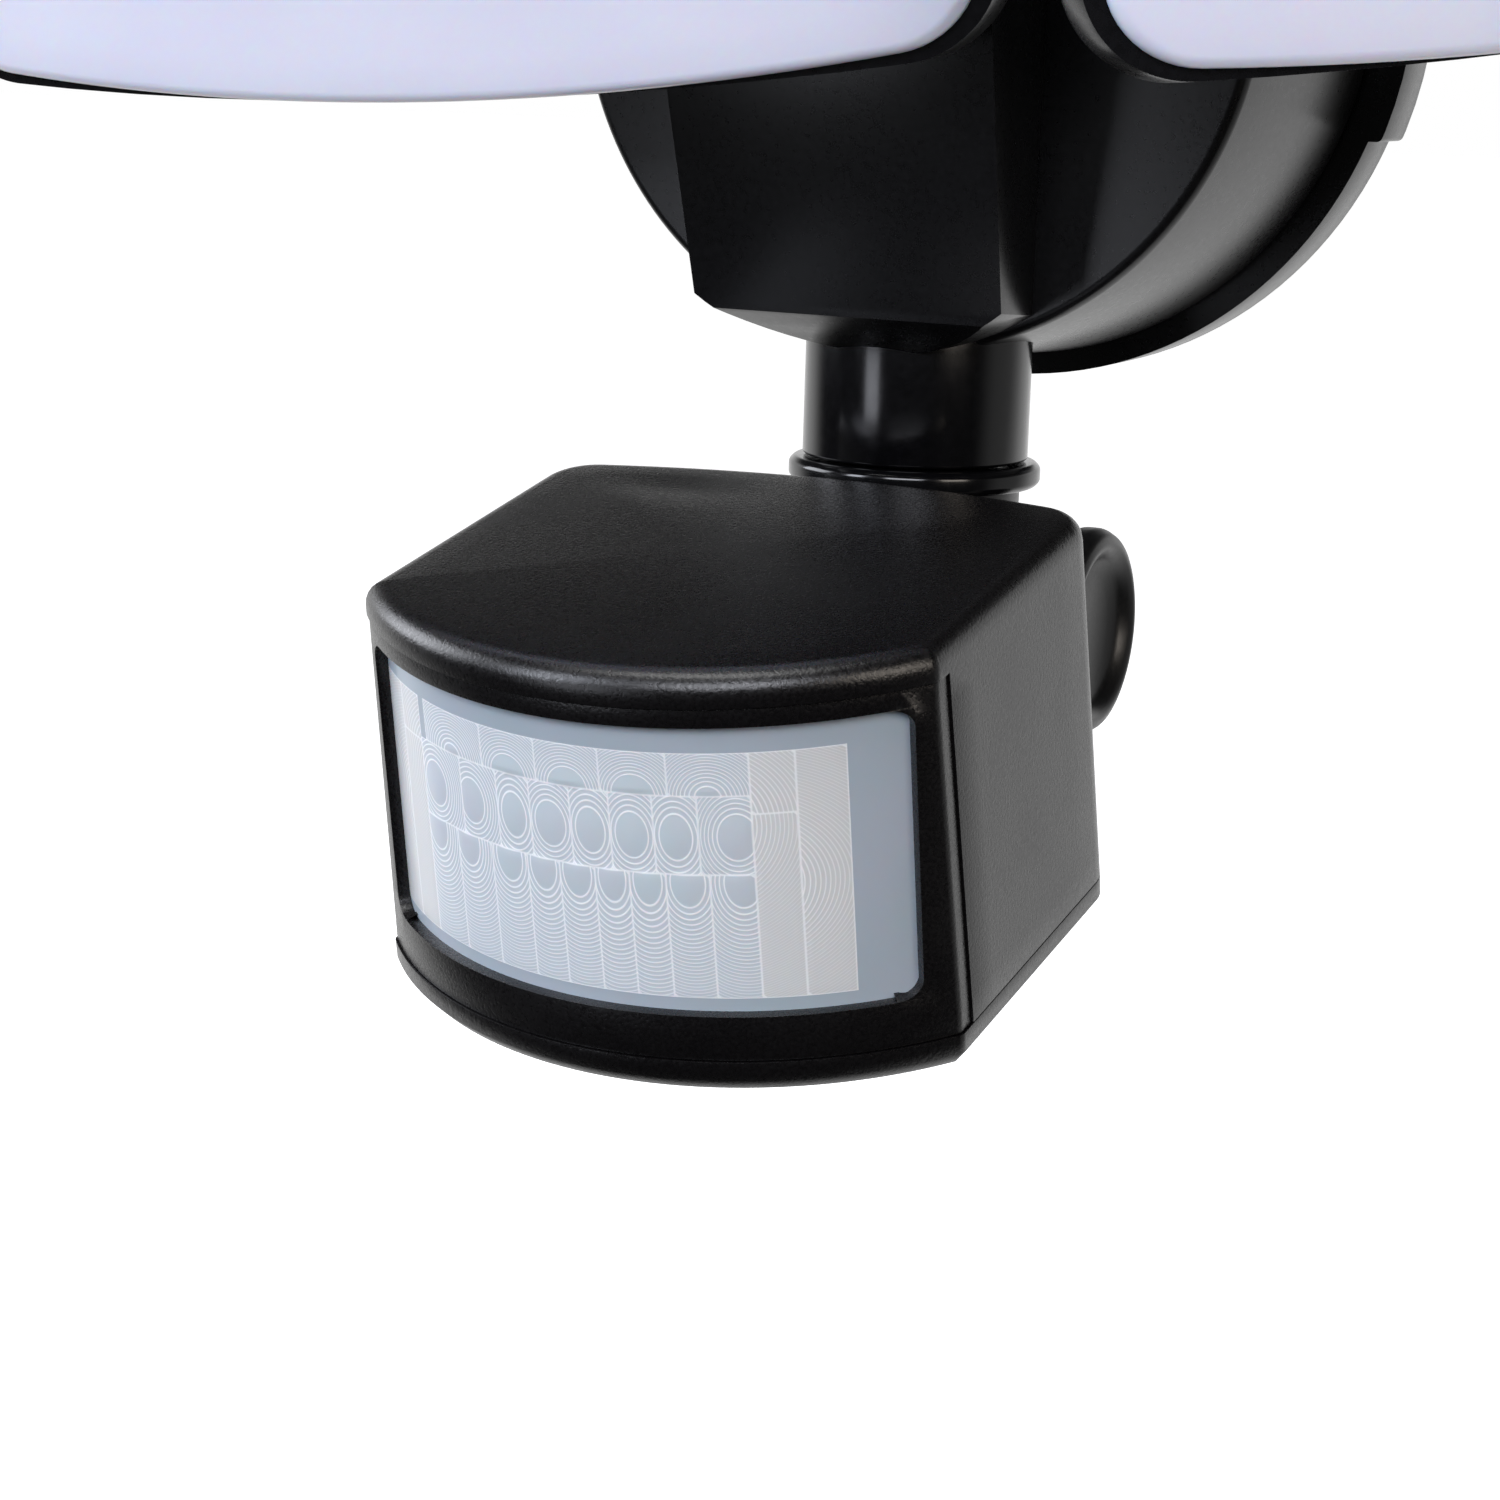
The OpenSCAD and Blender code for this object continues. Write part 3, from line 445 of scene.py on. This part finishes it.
def band(low, high, count, closed=True):
    """The faces between two rings of points, from where each ring starts."""
    return [(low + i, high + i, high + (i + 1) % count, low + (i + 1) % count)
            for i in range(count if closed else count - 1)]


top_edge = 3.2
levels = [(top_edge * (1 - math.sin(math.radians(a))), top_edge * (1 - math.cos(math.radians(a))))
          for a in range(0, 91, 15)] + [(0, lip)]
crown = 0.9
crown_middle = -33
crown_steps = 9
# The cap has a faint sink mark left of its middle, as a thicker wall leaves when it cools. The two
# spreads are in square millimetres.
sink_x, sink_y = -19, -9
sink_deep = 0.32
sink_spread_x, sink_spread_y = 90, 14
points = []
faces = []
base_ring = back_half(width_at(0), top_edge) + front_half(width_at(0), top_edge)[1:-1]
ring_size = len(base_ring)
for step in range(1, crown_steps + 1):
    share = step / crown_steps
    for x, y in base_ring:
        px, py = x * share, crown_middle + (y - crown_middle) * share
        off_mark = (px - sink_x) ** 2 / sink_spread_x + (py - sink_y) ** 2 / sink_spread_y
        sink = sink_deep * math.exp(-off_mark)
        points.append((px, py, crown * (1 - share ** 2) - sink))
centre_point = len(points)
points.append((0, crown_middle, crown))
for i in range(ring_size):
    faces.append((centre_point, i, (i + 1) % ring_size))
for step in range(crown_steps - 1):
    faces += band(step * ring_size, (step + 1) * ring_size, ring_size)
last = (crown_steps - 1) * ring_size
for inset, depth in levels[1:]:
    start = len(points)
    width = width_at(depth)
    points += [(x, y, -depth) for x, y in back_half(width, inset) + front_half(width, inset)[1:-1]]
    faces += band(last, start, ring_size)
    last = start
side_steps = 12
for step in range(1, side_steps + 1):
    depth = lip + (head_height - lip) * step / side_steps
    start = len(points)
    side_ring = back_half(width_at(depth))
    points += [(x, y, -depth) for x, y in side_ring]
    faces += band(last, start, len(side_ring), closed=False)
    last = start


def walled(thing, thick, round_mm, place, angle=30):
    """Gives a skin its wall, rounds the wall's edges, and puts it in place."""
    form = bmesh.new()
    form.from_mesh(thing.data)
    bmesh.ops.recalc_face_normals(form, faces=form.faces)
    middle = sum((v.co for v in form.verts), Vector()) / len(form.verts)
    outward = sum((f.calc_center_median() - middle).dot(f.normal) * f.calc_area() for f in form.faces)
    if outward < 0:
        bmesh.ops.reverse_faces(form, faces=form.faces)
    form.to_mesh(thing.data)
    form.free()
    wall = thing.modifiers.new("wall", "SOLIDIFY")
    wall.thickness = thick * MM
    wall.offset = -1
    wall.use_even_offset = True
    edge = thing.modifiers.new("edge", "BEVEL")
    edge.width = round_mm * MM
    edge.segments = 3
    edge.limit_method = "ANGLE"
    edge.angle_limit = math.radians(50)
    settle(thing, angle)
    thing.data.transform(place)
    return thing


# ABS, moulded in a spark-eroded mould: matte black, with a fine even grain that sparkles in a highlight.
spark_abs = moulded("abs_moulded_spark_eroded", "#040304", "#0a090a", 0.46, 0.07, (0.2, 0.36), IOR=1.5)
cover = build("head_cover", points, faces)
walled(cover, shell, 0.35, head_place)
paint(cover, spark_abs)
seat(cover, "sensor_head", "black_textured_abs", "sensor_shell")

# ---- Front bezel ----
# The bezel closes the front between the two side seams and frames the lens. It is moulded in the same
# ABS as the shell, and stands a little inside its line, so that the seams show.
step_in = 0.3
window_half = head_width / 2 - 2.2
window_top = 7.2
window_low = 46.8
window_corner = 2.6
bezel_top = lip + 0.2
straight = window_low - window_top - 2 * window_corner
rows = ([bezel_top, window_top, window_top + window_corner]
        + [window_top + window_corner + straight * i / 8 for i in range(1, 9)]
        + [window_low, (window_low + head_height) / 2, head_height])
points = [(x, y, -depth) for depth in rows for x, y in front_half(width_at(depth), step_in, window_half)]
faces = []
columns = len(points) // len(rows)
# Between the seam and the window stand the seam's own point and the seven round a front corner.
jamb_points = 8
for row in range(len(rows) - 1):
    for column in range(columns - 1):
        across = jamb_points <= column < columns - 1 - jamb_points
        if across and window_top <= rows[row] < window_low:
            continue
        a = row * columns + column
        faces.append((a, a + 1, a + 1 + columns, a + columns))


def bow_y(x, depth, inset=0.0):
    """How far forward the head's bowed front stands at x and at a depth below its top."""
    half = width_at(depth) / 2
    bow = (half ** 2 + head_bow ** 2) / (2 * head_bow)
    return bow - head_side - head_bow - math.sqrt((bow - inset) ** 2 - x ** 2)


corner_steps = 8
for side in (-1, 1):
    for depth, way in ((window_top, 1), (window_low, -1)):
        start = len(points)
        corner_x = side * window_half
        points.append((corner_x, bow_y(corner_x, depth, step_in), -depth))
        for i in range(corner_steps + 1):
            turn = math.pi / 2 * i / corner_steps
            x = side * (window_half - window_corner * (1 - math.sin(turn)))
            z = depth + way * window_corner * (1 - math.cos(turn))
            points.append((x, bow_y(x, z, step_in), -z))
        faces += [(start, start + 1 + i, start + 2 + i) for i in range(corner_steps)]
bezel = build("bezel", points, faces)
form = bmesh.new()
form.from_mesh(bezel.data)
bmesh.ops.remove_doubles(form, verts=form.verts, dist=0.01 * MM)
form.to_mesh(bezel.data)
form.free()
walled(bezel, shell - step_in, 0.3, head_place)
paint(bezel, spark_abs)
seat(bezel, "sensor_head", "black_textured_abs", "sensor_bezel")

# ---- Lens ----
# A thin polyethylene sheet, bent behind the window. Its face is moulded into rows of small Fresnel
# lenses, with rings round a smooth eye and a fine line at each border. The tall ones have rings only.
lens_inset = 2.0
lens_thick = 1.0
row_edges = (11.2, 17.0, 27.7, 45.0)
tall_right = (21.5, 26.6, 32.0)
tall_left = (-28.6, -33.4, -38.5)
split_right = 19.5
split_left = 17.5
top_row = (-28.6, -27.4, -15.8, -6.7, 2.7, 11.6, 21.5)
middle_row = (-28.6, -20.3, -13.6, -8.1, -1.9, 3.7, 9.5, 15.1, 21.5)
low_row = (-28.6, -22.0, -15.4, -9.3, -4.2, 1.0, 5.8, 10.6, 16.1, 21.5)
narrowest = 2
eyed = 1.0
tall = 2.0
Cell = namedtuple("Cell", "left right top low centre_x centre_z eye_x eye_z kind")


def lens_cells():
    """Each lens: its box, the centre of its rings, the eye's half sizes, and its kind."""
    cells = []
    top, upper, lower, low = row_edges
    for left, right in zip(top_row, top_row[1:]):
        if right - left < narrowest:
            continue
        middle = (left + right) / 2
        eye = 2.9 if abs(middle) < 16 else 1.6
        cells.append(Cell(left, right, top, upper, middle, upper + 0.2, eye, eye, eyed))
    # The outer eyes of the two lower rows stand off the middle of their lenses, further out.
    for edges, above, below, level, off, gap, widest, high in (
            (middle_row, upper, lower, 22.6, 1.4, 0.7, 2.35, 3.2),
            (low_row, lower, low, lower + 1.2, 1.2, 0.5, 2.2, 3.4)):
        for left, right in zip(edges, edges[1:]):
            middle = (left + right) / 2
            shift = 0 if abs(middle) < 15 else math.copysign(off, middle)
            eye = min((right - left) / 2 - gap, widest)
            cells.append(Cell(left, right, above, below, middle + shift, level, eye, high, eyed))
    # The tall lenses at both ends have no eye: their rings are centred outside them, nearer the middle.
    for way, (near, between, far), split, level in ((1, tall_right, split_right, 21),
                                                    (-1, tall_left, split_left, 23)):
        inner = sorted((near, between))
        outer = sorted((between, far))
        cells.append(Cell(*inner, top, split, near - way * 5, top + 9, 0, 0, tall))
        cells.append(Cell(*inner, split, low, near - way * 7, level, 0, 0, tall))
        cells.append(Cell(*outer, top, low, between - way * 6, 29, 0, 0, tall))
    return cells


def graded(marks, step):
    """Sorted marks with the gaps between them filled no wider than a step."""
    marks = sorted(set(round(m, 3) for m in marks))
    out = [marks[0]]
    for a, b in zip(marks, marks[1:]):
        parts = max(1, math.ceil((b - a) / step))
        out += [a + (b - a) * i / parts for i in range(1, parts + 1)]
    return out


cells = lens_cells()
lens_half = window_half + 0.9
lens_top = window_top - 0.9
lens_low = window_low + 0.9
lens_step = 0.5
cell_sides = [side for cell in cells for side in (cell.left, cell.right)]
xs = graded([-lens_half, lens_half] + cell_sides, lens_step)
zs = graded([lens_top, lens_low, split_right, split_left] + list(row_edges), lens_step)


def cell_at(x, z):
    for cell in cells:
        if cell.left < x < cell.right and cell.top < z < cell.low:
            return cell
    return None


def border_gap(cell, x, z):
    """How far a point stands inside its lens's border."""
    return min(x - cell.left, cell.right - x, z - cell.top, cell.low - z)


def relief(x, z):
    """How far a point of the sheet stands proud: each eye swells a little, and borders are cut in."""
    cell = cell_at(x, z)
    if cell is None:
        return 0.0
    height = 0.05 * min(1, border_gap(cell, x, z) / 0.5)
    if cell.kind == eyed:
        away = math.hypot((x - cell.centre_x) / cell.eye_x, (z - cell.centre_z) / cell.eye_z)
        if away < 1:
            height += 0.16 * (1 - away ** 2)
    return height


nudge = 1e-4
points = [(x, bow_y(x, z, lens_inset) - relief(x + nudge, z + nudge), -z) for z in zs for x in xs]
faces = []
rings = []
kinds = []
borders = []
far_off = 9.0
for row in range(len(zs) - 1):
    for column in range(len(xs) - 1):
        a = row * len(xs) + column
        faces.append((a, a + 1, a + 1 + len(xs), a + len(xs)))
        left, right, top, low = xs[column], xs[column + 1], zs[row], zs[row + 1]
        cell = cell_at((left + right) / 2, (top + low) / 2)
        for x, z in ((left, top), (right, top), (right, low), (left, low)):
            if cell is None:
                rings += (0.0, 0.0)
                kinds += (0.0, 0.0)
                borders.append(far_off)
            else:
                squash = cell.eye_x / cell.eye_z if cell.kind == eyed else 1.0
                rings += (x - cell.centre_x, (z - cell.centre_z) * squash)
                kinds += (cell.kind, cell.eye_x)
                borders.append(border_gap(cell, x, z))
sheet = build("fresnel_sheet", points, faces)
ring_map = sheet.data.uv_layers.new(name="rings")
kind_map = sheet.data.uv_layers.new(name="kinds")
ring_map.data.foreach_set("uv", rings)
kind_map.data.foreach_set("uv", kinds)
border = sheet.data.attributes.new("border", "FLOAT", "CORNER")
border.data.foreach_set("value", borders)
wall = sheet.modifiers.new("wall", "SOLIDIFY")
wall.thickness = lens_thick * MM
wall.offset = 1
settle(sheet, 60)
sheet.data.transform(head_place)

# Polyethylene, moulded milky: a bluish, cloudy sheet. Its ring crests are painted whiter, a painted highlight
# where real rings catch the light, and it is weaker further from an eye.
# The rings are about 0.6 mm apart near an eye and finer further out, coarser than real ones.
milky, shader = surface("polyethylene_moulded_milky", IOR=1.51, Subsurface_Weight=0.15,
                        Subsurface_Scale=0.001, Coat_Weight=0.2, Coat_Roughness=0.16)
ring_uv = add_node(milky, "ShaderNodeUVMap", uv_map="rings")
kind_uv = add_node(milky, "ShaderNodeUVMap", uv_map="kinds")
kind = add_node(milky, "ShaderNodeSeparateXYZ", {"Vector": (kind_uv, "UV")})
away = add_node(milky, "ShaderNodeVectorMath", {0: (ring_uv, "UV")}, operation="LENGTH")
is_tall = add_node(milky, "ShaderNodeMath", {0: (kind, "X"), 1: 1.5}, operation="GREATER_THAN")
spread = add_node(milky, "ShaderNodeMath", {0: (away, "Value"), 1: 1.5}, operation="POWER")
start = add_node(milky, "ShaderNodeMath", {0: (kind, "Y"), 1: 1.5}, operation="POWER")
turn = add_node(milky, "ShaderNodeMath", {0: (spread, "Value"), 1: (start, "Value")}, operation="SUBTRACT")
pace = add_node(milky, "ShaderNodeMapRange", {"Value": (is_tall, "Value"), "To Min": 2 * math.pi / 1.35,
                                              "To Max": 2 * math.pi / 2.3})
turn = add_node(milky, "ShaderNodeMath", {0: (turn, "Value"), 1: (pace, "Result")}, operation="MULTIPLY")
wave = add_node(milky, "ShaderNodeMath", {0: (turn, "Value")}, operation="COSINE")
outside = add_node(milky, "ShaderNodeMath", {0: (away, "Value"), 1: (kind, "Y")}, operation="SUBTRACT")
outside = add_node(milky, "ShaderNodeMapRange",
                   {"Value": (outside, "Value"), "From Min": -0.25, "From Max": -0.05})
is_cell = add_node(milky, "ShaderNodeMath", {0: (kind, "X"), 1: 0.5}, operation="GREATER_THAN")
ringed = add_node(milky, "ShaderNodeMath", {0: (outside, "Result"), 1: (is_cell, "Value")},
                  operation="MULTIPLY")
crest = add_node(milky, "ShaderNodeMapRange", {"Value": (wave, "Value"), "From Min": 0.25, "From Max": 1.0})
fade = add_node(milky, "ShaderNodeMapRange", {"Value": (away, "Value"), "From Min": 2.5, "From Max": 14.0,
                                              "To Min": 1.0, "To Max": 0.35})
crest = add_node(milky, "ShaderNodeMath", {0: (crest, "Result"), 1: (fade, "Result")}, operation="MULTIPLY")
rings_high = add_node(milky, "ShaderNodeMath", {0: (crest, "Value"), 1: (ringed, "Value")},
                      operation="MULTIPLY")
place = add_node(milky, "ShaderNodeTexCoord")
milk_mm = 16
cloud = add_node(milky, "ShaderNodeTexNoise",
                 {"Vector": (place, "Object"), "Scale": 1 / (milk_mm * MM), "Detail": 2.0})
plain = add_node(milky, "ShaderNodeValToRGB", {"Fac": (cloud, "Fac")})
plain.color_ramp.elements[0].position = 0.35
plain.color_ramp.elements[0].color = linear("#9ca9b2")
plain.color_ramp.elements[1].position = 0.65
plain.color_ramp.elements[1].color = linear("#a2aab5")
eye = add_node(milky, "ShaderNodeValToRGB", {"Fac": (cloud, "Fac")})
eye.color_ramp.elements[0].position = 0.4
eye.color_ramp.elements[0].color = linear("#b8c4ca")
eye.color_ramp.elements[1].position = 0.6
eye.color_ramp.elements[1].color = linear("#bbc1c9")
eye_tone = add_node(milky, "ShaderNodeMix", {"Factor": (is_cell, "Value"), "A": (plain, "Color"),
                                             "B": (eye, "Color")}, data_type="RGBA")
white_tone = add_node(milky, "ShaderNodeMix", {"Factor": (ringed, "Value"), "A": (eye_tone, "Result"),
                                               "B": linear("#bcc4cb")}, data_type="RGBA")
pearl = add_node(milky, "ShaderNodeMix", {"Factor": (is_tall, "Value"), "A": (white_tone, "Result"),
                                          "B": linear("#c6c8c9")}, data_type="RGBA")
# Painted highlight: the ring crests are mixed towards white in the base colour.
painted_ring_highlight = add_node(milky, "ShaderNodeMath", {0: (rings_high, "Value"), 1: 0.8}, operation="MULTIPLY")
ring_highlight_tone = add_node(milky, "ShaderNodeMix", {"Factor": (painted_ring_highlight, "Value"), "A": (pearl, "Result"),
                                              "B": linear("#f2f3f4")}, data_type="RGBA")
near = add_node(milky, "ShaderNodeAttribute", attribute_name="border")
line = add_node(milky, "ShaderNodeMapRange", {"Value": (near, "Fac"), "From Min": 0.04, "From Max": 0.2,
                                              "To Min": 0.8, "To Max": 0.0})
final_tone = add_node(milky, "ShaderNodeMix", {"Factor": (line, "Result"), "A": (ring_highlight_tone, "Result"),
                                               "B": linear("#e8eaec")}, data_type="RGBA")
feed(milky, final_tone, "Result", shader, "Base Color")
gloss = add_node(milky, "ShaderNodeMapRange", {"Value": (rings_high, "Value"), "To Min": 0.3, "To Max": 0.45})
feed(milky, gloss, "Result", shader, "Roughness")
bump = add_node(milky, "ShaderNodeBump", {"Height": (rings_high, "Value"), "Strength": 0.6,
                                          "Distance": 0.04 * MM})
feed(milky, bump, "Normal", shader, "Normal")
paint(sheet, milky)
seat(sheet, "sensor_head", "lens_plastic", "sensor_lens")

# ---- Bottom cover, dials and screws ----
# The cover closes the head from below, and four screws hold it. Three slotted dials stand in it, and
# set how long the light stays on, how dark it has to be, and how far the sensor reaches.
softened("sensor_base", "bottom_cover", 0.4, "sensor_head", "black_textured_abs", spark_abs, 40)
# Acetal, moulded dark grey: smooth and slightly waxy.
acetal_moulded = moulded("acetal_moulded_grey", "#2b2b2d", "#38383a", 0.7, 0.006, (0.3, 0.42))
for node, body in (("dial_time", "time_dial"), ("dial_light", "light_dial"), ("dial_range", "range_dial")):
    softened(node, node + "_cap", 0.3, body, "dial_plastic", acetal_moulded)

# Inside the head: the sensor's metal can with its dark window, and the photocell.
dress("pir_can", plated("steel_nickel_plated", "#8d8f8e", "#c4c5c1", (0.18, 0.3), 0.8))
# Cadmium cell, lacquered: a warm, clear-coated disc.
lacquered = moulded("ceramic_cell_lacquered", "#9a5a2c", "#d3a06a", 0.5, 0.01, (0.12, 0.22), Coat_Weight=0.5)
dress("photocell", lacquered)

# ---- Light heads ----
# Each head is a shallow enamelled tray with a flared skirt, a white LED board, and a bowed opal cover
# that caps the tray's rim. A short link arm joins it to a shoulder on the block.
# Aluminium, enamelled: satin black with a faint orange-peel ripple.
enamelled = moulded("aluminium_enamelled_black", "#0b0b0d", "#111114", 1.2, 0.012, (0.24, 0.34),
                    Coat_Weight=0.4, Coat_Roughness=0.25)
# Acrylic, moulded opal: smooth, cool white, and bright all over because light scatters inside it.
opal, shader = surface("acrylic_moulded_opal", IOR=1.49, Subsurface_Weight=0.4, Subsurface_Scale=0.004,
                       Coat_Weight=0.2, Coat_Roughness=0.1)
place = add_node(opal, "ShaderNodeTexCoord")
haze_mm = 40
haze = add_node(opal, "ShaderNodeTexNoise",
                {"Vector": (place, "Object"), "Scale": 1 / (haze_mm * MM), "Detail": 2.0})
tint = add_node(opal, "ShaderNodeValToRGB", {"Fac": (haze, "Fac")})
tint.color_ramp.elements[0].color = linear("#dcdcf0")
tint.color_ramp.elements[1].color = linear("#e6e7f6")
feed(opal, tint, "Color", shader, "Base Color")
gloss = add_node(opal, "ShaderNodeMapRange", {"Value": (haze, "Fac"), "To Min": 0.2, "To Max": 0.3})
feed(opal, gloss, "Result", shader, "Roughness")
# Aluminium board, coated in white solder mask, and LEDs of yellow phosphor under clear resin.
white_mask = moulded("solder_mask_white", "#dcdddd", "#f0f0ef", 0.8, 0.006, (0.25, 0.4))
phosphor = moulded("phosphor_under_resin", "#cfa92e", "#f0dc6a", 0.5, 0.01, (0.1, 0.2), Coat_Weight=0.6)

lamp_width = 150
lamp_height = 106
lamp_corner = 12
lamp_sag = 4.4
lamp_bow = 8
lamp_reach = 44.5
cover_thick = 2.2
cover_round = 2.0
cover_back_inset = 1.2
cover_steps = 12
lamp_turns = {"left": 8.8, "right": 37.8}


def lamp_ring(grow):
    """The face outline of a light head in X and Z, grown by an amount."""
    long_radius = ((lamp_width / 2) ** 2 + lamp_sag ** 2) / (2 * lamp_sag)
    hub_x = lamp_width / 2 - lamp_corner
    foot = lamp_height / 2 - long_radius
    hub_z = foot + math.sqrt((long_radius - lamp_corner) ** 2 - hub_x ** 2)
    sweep = math.degrees(math.atan2(hub_z - foot, hub_x))
    corner = lamp_corner + grow
    quarter = arc((hub_x, hub_z), corner, 0, sweep, 12)
    crown = arc((0, foot), long_radius + grow, sweep, 180 - sweep, 28)[1:-1]
    upper = quarter + crown + [(-x, z) for x, z in reversed(quarter)]
    return upper + [(x, -z) for x, z in reversed(upper)]


bow_radius = ((lamp_width / 2) ** 2 + lamp_bow ** 2) / (2 * lamp_bow)


def lamp_y(x, depth):
    """How far forward the bowed cover stands at x, at a depth below its face."""
    radius = bow_radius - depth
    return bow_radius - lamp_reach - math.sqrt(radius ** 2 - min(x * x, radius ** 2))


for side in ("left", "right"):
    body = side + "_head"
    wrist = joint_at[side + "_turn"]
    axis = joint_axis[side + "_turn"]
    lean = math.atan2(-axis.y, axis.z)
    lamp_place = (Matrix.Translation(wrist) @ Matrix.Rotation(lean, 4, "X")
                  @ Matrix.Rotation(math.radians(lamp_turns[side]), 4, "Z"))
    rounds = [(-cover_round * (1 - math.sin(math.radians(a))), cover_round * (1 - math.cos(math.radians(a))))
              for a in range(0, 91, 15)] + [(0, cover_thick - 0.05)]
    outline = lamp_ring(rounds[0][0])
    count = len(outline)
    points = []
    for step in range(1, cover_steps + 1):
        for x, z in outline:
            px, pz = x * step / cover_steps, z * step / cover_steps
            points.append((px, lamp_y(px, 0), pz))
    points.append((0, lamp_y(0, 0), 0))
    faces = [(count * cover_steps, (i + 1) % count, i) for i in range(count)]
    for step in range(cover_steps - 1):
        faces += band(step * count, (step + 1) * count, count)
    last = (cover_steps - 1) * count
    for grow, depth in rounds[1:]:
        start = len(points)
        points += [(x, lamp_y(x, depth), z) for x, z in lamp_ring(grow)]
        faces += band(last, start, count)
        last = start
    for step in range(cover_steps, 0, -1):
        start = len(points)
        for x, z in lamp_ring(-cover_back_inset):
            px, pz = x * step / cover_steps, z * step / cover_steps
            points.append((px, lamp_y(px, cover_thick), pz))
        faces += band(last, start, count)
        last = start
    points.append((0, lamp_y(0, cover_thick), 0))
    faces += [(last + i, last + (i + 1) % count, len(points) - 1) for i in range(count)]
    opal_cover = build(side + "_opal_cover", points, faces)
    form = bmesh.new()
    form.from_mesh(opal_cover.data)
    bmesh.ops.recalc_face_normals(form, faces=form.faces)
    form.to_mesh(opal_cover.data)
    form.free()
    settle(opal_cover, 50)
    opal_cover.data.transform(lamp_place)
    paint(opal_cover, opal)
    seat(opal_cover, body, "diffuser", side + "_diffuser")
    softened(side + "_housing", side + "_tray", 0.5, body, "black_enamel", enamelled, 50)
    dress(side + "_led_board", white_mask)
    dress(side + "_leds", phosphor)
    for node in ("_housing_screws", "_wrist_bolt", "_shoulder_bolt"):
        dress(side + node, zinc_plated)
    # Each arm is a short link between two bolted eyes, so the head can be raised, swung and turned.
    softened(side + "_bracket", side + "_tray_bracket", 0.6, body, "black_knuckle_plastic", nylon_moulded)
    softened(side + "_arm", side + "_link_arm", 0.7, side + "_link", "black_knuckle_plastic", nylon_moulded)
    softened(side + "_swivel", side + "_shoulder_eye", 0.6, side + "_shoulder", "black_knuckle_plastic",
             nylon_moulded)

# ---- Studio ----
# A white sweep lies below, and the room glows behind it. Five soft boxes stand at the front left, the
# front, the left, the right and above. A small low one draws the bright line down the neck.
lowest = cad_box[0][2]
floor_drop = 0.16
floor_half = 9000
floor = build("sweep", [(-floor_half, -floor_half, 0), (floor_half, -floor_half, 0),
                        (floor_half, floor_half, 0), (-floor_half, floor_half, 0)], [(0, 1, 2, 3)])
floor.location.z = lowest - floor_drop
floor.visible_diffuse = False
floor.visible_glossy = False
floor.visible_shadow = False
floor_paint, shader = surface("paper_white", Roughness=0.9)
shader.inputs["Base Color"].default_value = linear("#f7f7f7")
shader.inputs["Emission Color"].default_value = linear("#ffffff")
shader.inputs["Emission Strength"].default_value = 0.97
paint(floor, floor_paint)

world = bpy.data.worlds.new("studio")
bpy.context.scene.world = world
world.use_nodes = True
way = add_node(world, "ShaderNodeTexCoord")
way = add_node(world, "ShaderNodeSeparateXYZ", {"Vector": (way, "Generated")})
behind = add_node(world, "ShaderNodeMapRange",
                  {"Value": (way, "Y"), "From Min": -0.1, "From Max": 0.35, "To Min": 0.0, "To Max": 1.0},
                  interpolation_type="SMOOTHSTEP")
low = add_node(world, "ShaderNodeMapRange",
               {"Value": (way, "Z"), "From Min": 0.18, "From Max": 0.4, "To Min": 1.0, "To Max": 0.0},
               interpolation_type="SMOOTHSTEP")
sweep_light = add_node(world, "ShaderNodeMath", {0: (behind, "Result"), 1: (low, "Result")},
                       operation="MULTIPLY")
off_side = add_node(world, "ShaderNodeMapRange", {"Value": (way, "X"), "From Min": 0.42, "From Max": 0.75,
                                                  "To Min": 1.0, "To Max": 0.35})
sweep_light = add_node(world, "ShaderNodeMath", {0: (sweep_light, "Value"), 1: (off_side, "Result")},
                       operation="MULTIPLY")
room = add_node(world, "ShaderNodeMapRange", {"Value": (sweep_light, "Value"), "To Min": 0.03, "To Max": 1.0})
seen = add_node(world, "ShaderNodeLightPath")
glow = add_node(world, "ShaderNodeMath", {0: (room, "Result"), 1: (seen, "Is Camera Ray")},
                operation="MAXIMUM")
feed(world, glow, "Value", world.node_tree.nodes["Background"], "Strength")
world.node_tree.nodes["Background"].inputs["Color"].default_value = (1, 1, 1, 1)
bpy.context.scene.view_settings.view_transform = "Standard"


def soft_box(name, turn, rise, far, size, power, colour):
    """A soft box round the sensor head, turned from the front to the right and raised, in degrees."""
    aim = Vector((0, -0.09, -0.06))
    turn, rise = math.radians(turn), math.radians(rise)
    toward = Vector((math.sin(turn) * math.cos(rise), -math.cos(turn) * math.cos(rise), math.sin(rise)))
    place = aim + far * toward
    data = bpy.data.lights.new(name, "AREA")
    data.shape = "RECTANGLE"
    data.size, data.size_y = size
    data.energy = power
    data.color = linear(colour)[:3]
    thing = bpy.data.objects.new(name, data)
    thing.location = place
    thing.rotation_euler = (aim - place).to_track_quat("-Z", "Y").to_euler()
    thing.visible_camera = False
    bpy.context.scene.collection.objects.link(thing)


soft_box("box_front_left", -34, 20, 1.3, (0.34, 0.6), 8, "#eef3ff")
soft_box("box_front", 14, 22, 1.4, (0.8, 0.5), 13, "#f4f6ff")
soft_box("box_left", -82, 16, 1.2, (0.7, 0.6), 9, "#f4f7ff")
soft_box("box_right", 62, 14, 1.2, (0.5, 0.5), 4, "#fff4e8")
soft_box("box_above", -10, 66, 1.3, (0.9, 0.4), 7, "#ffffff")
soft_box("strip_low_left", -24, -9, 1.2, (0.3, 0.3), 1.2, "#f2f5ff")
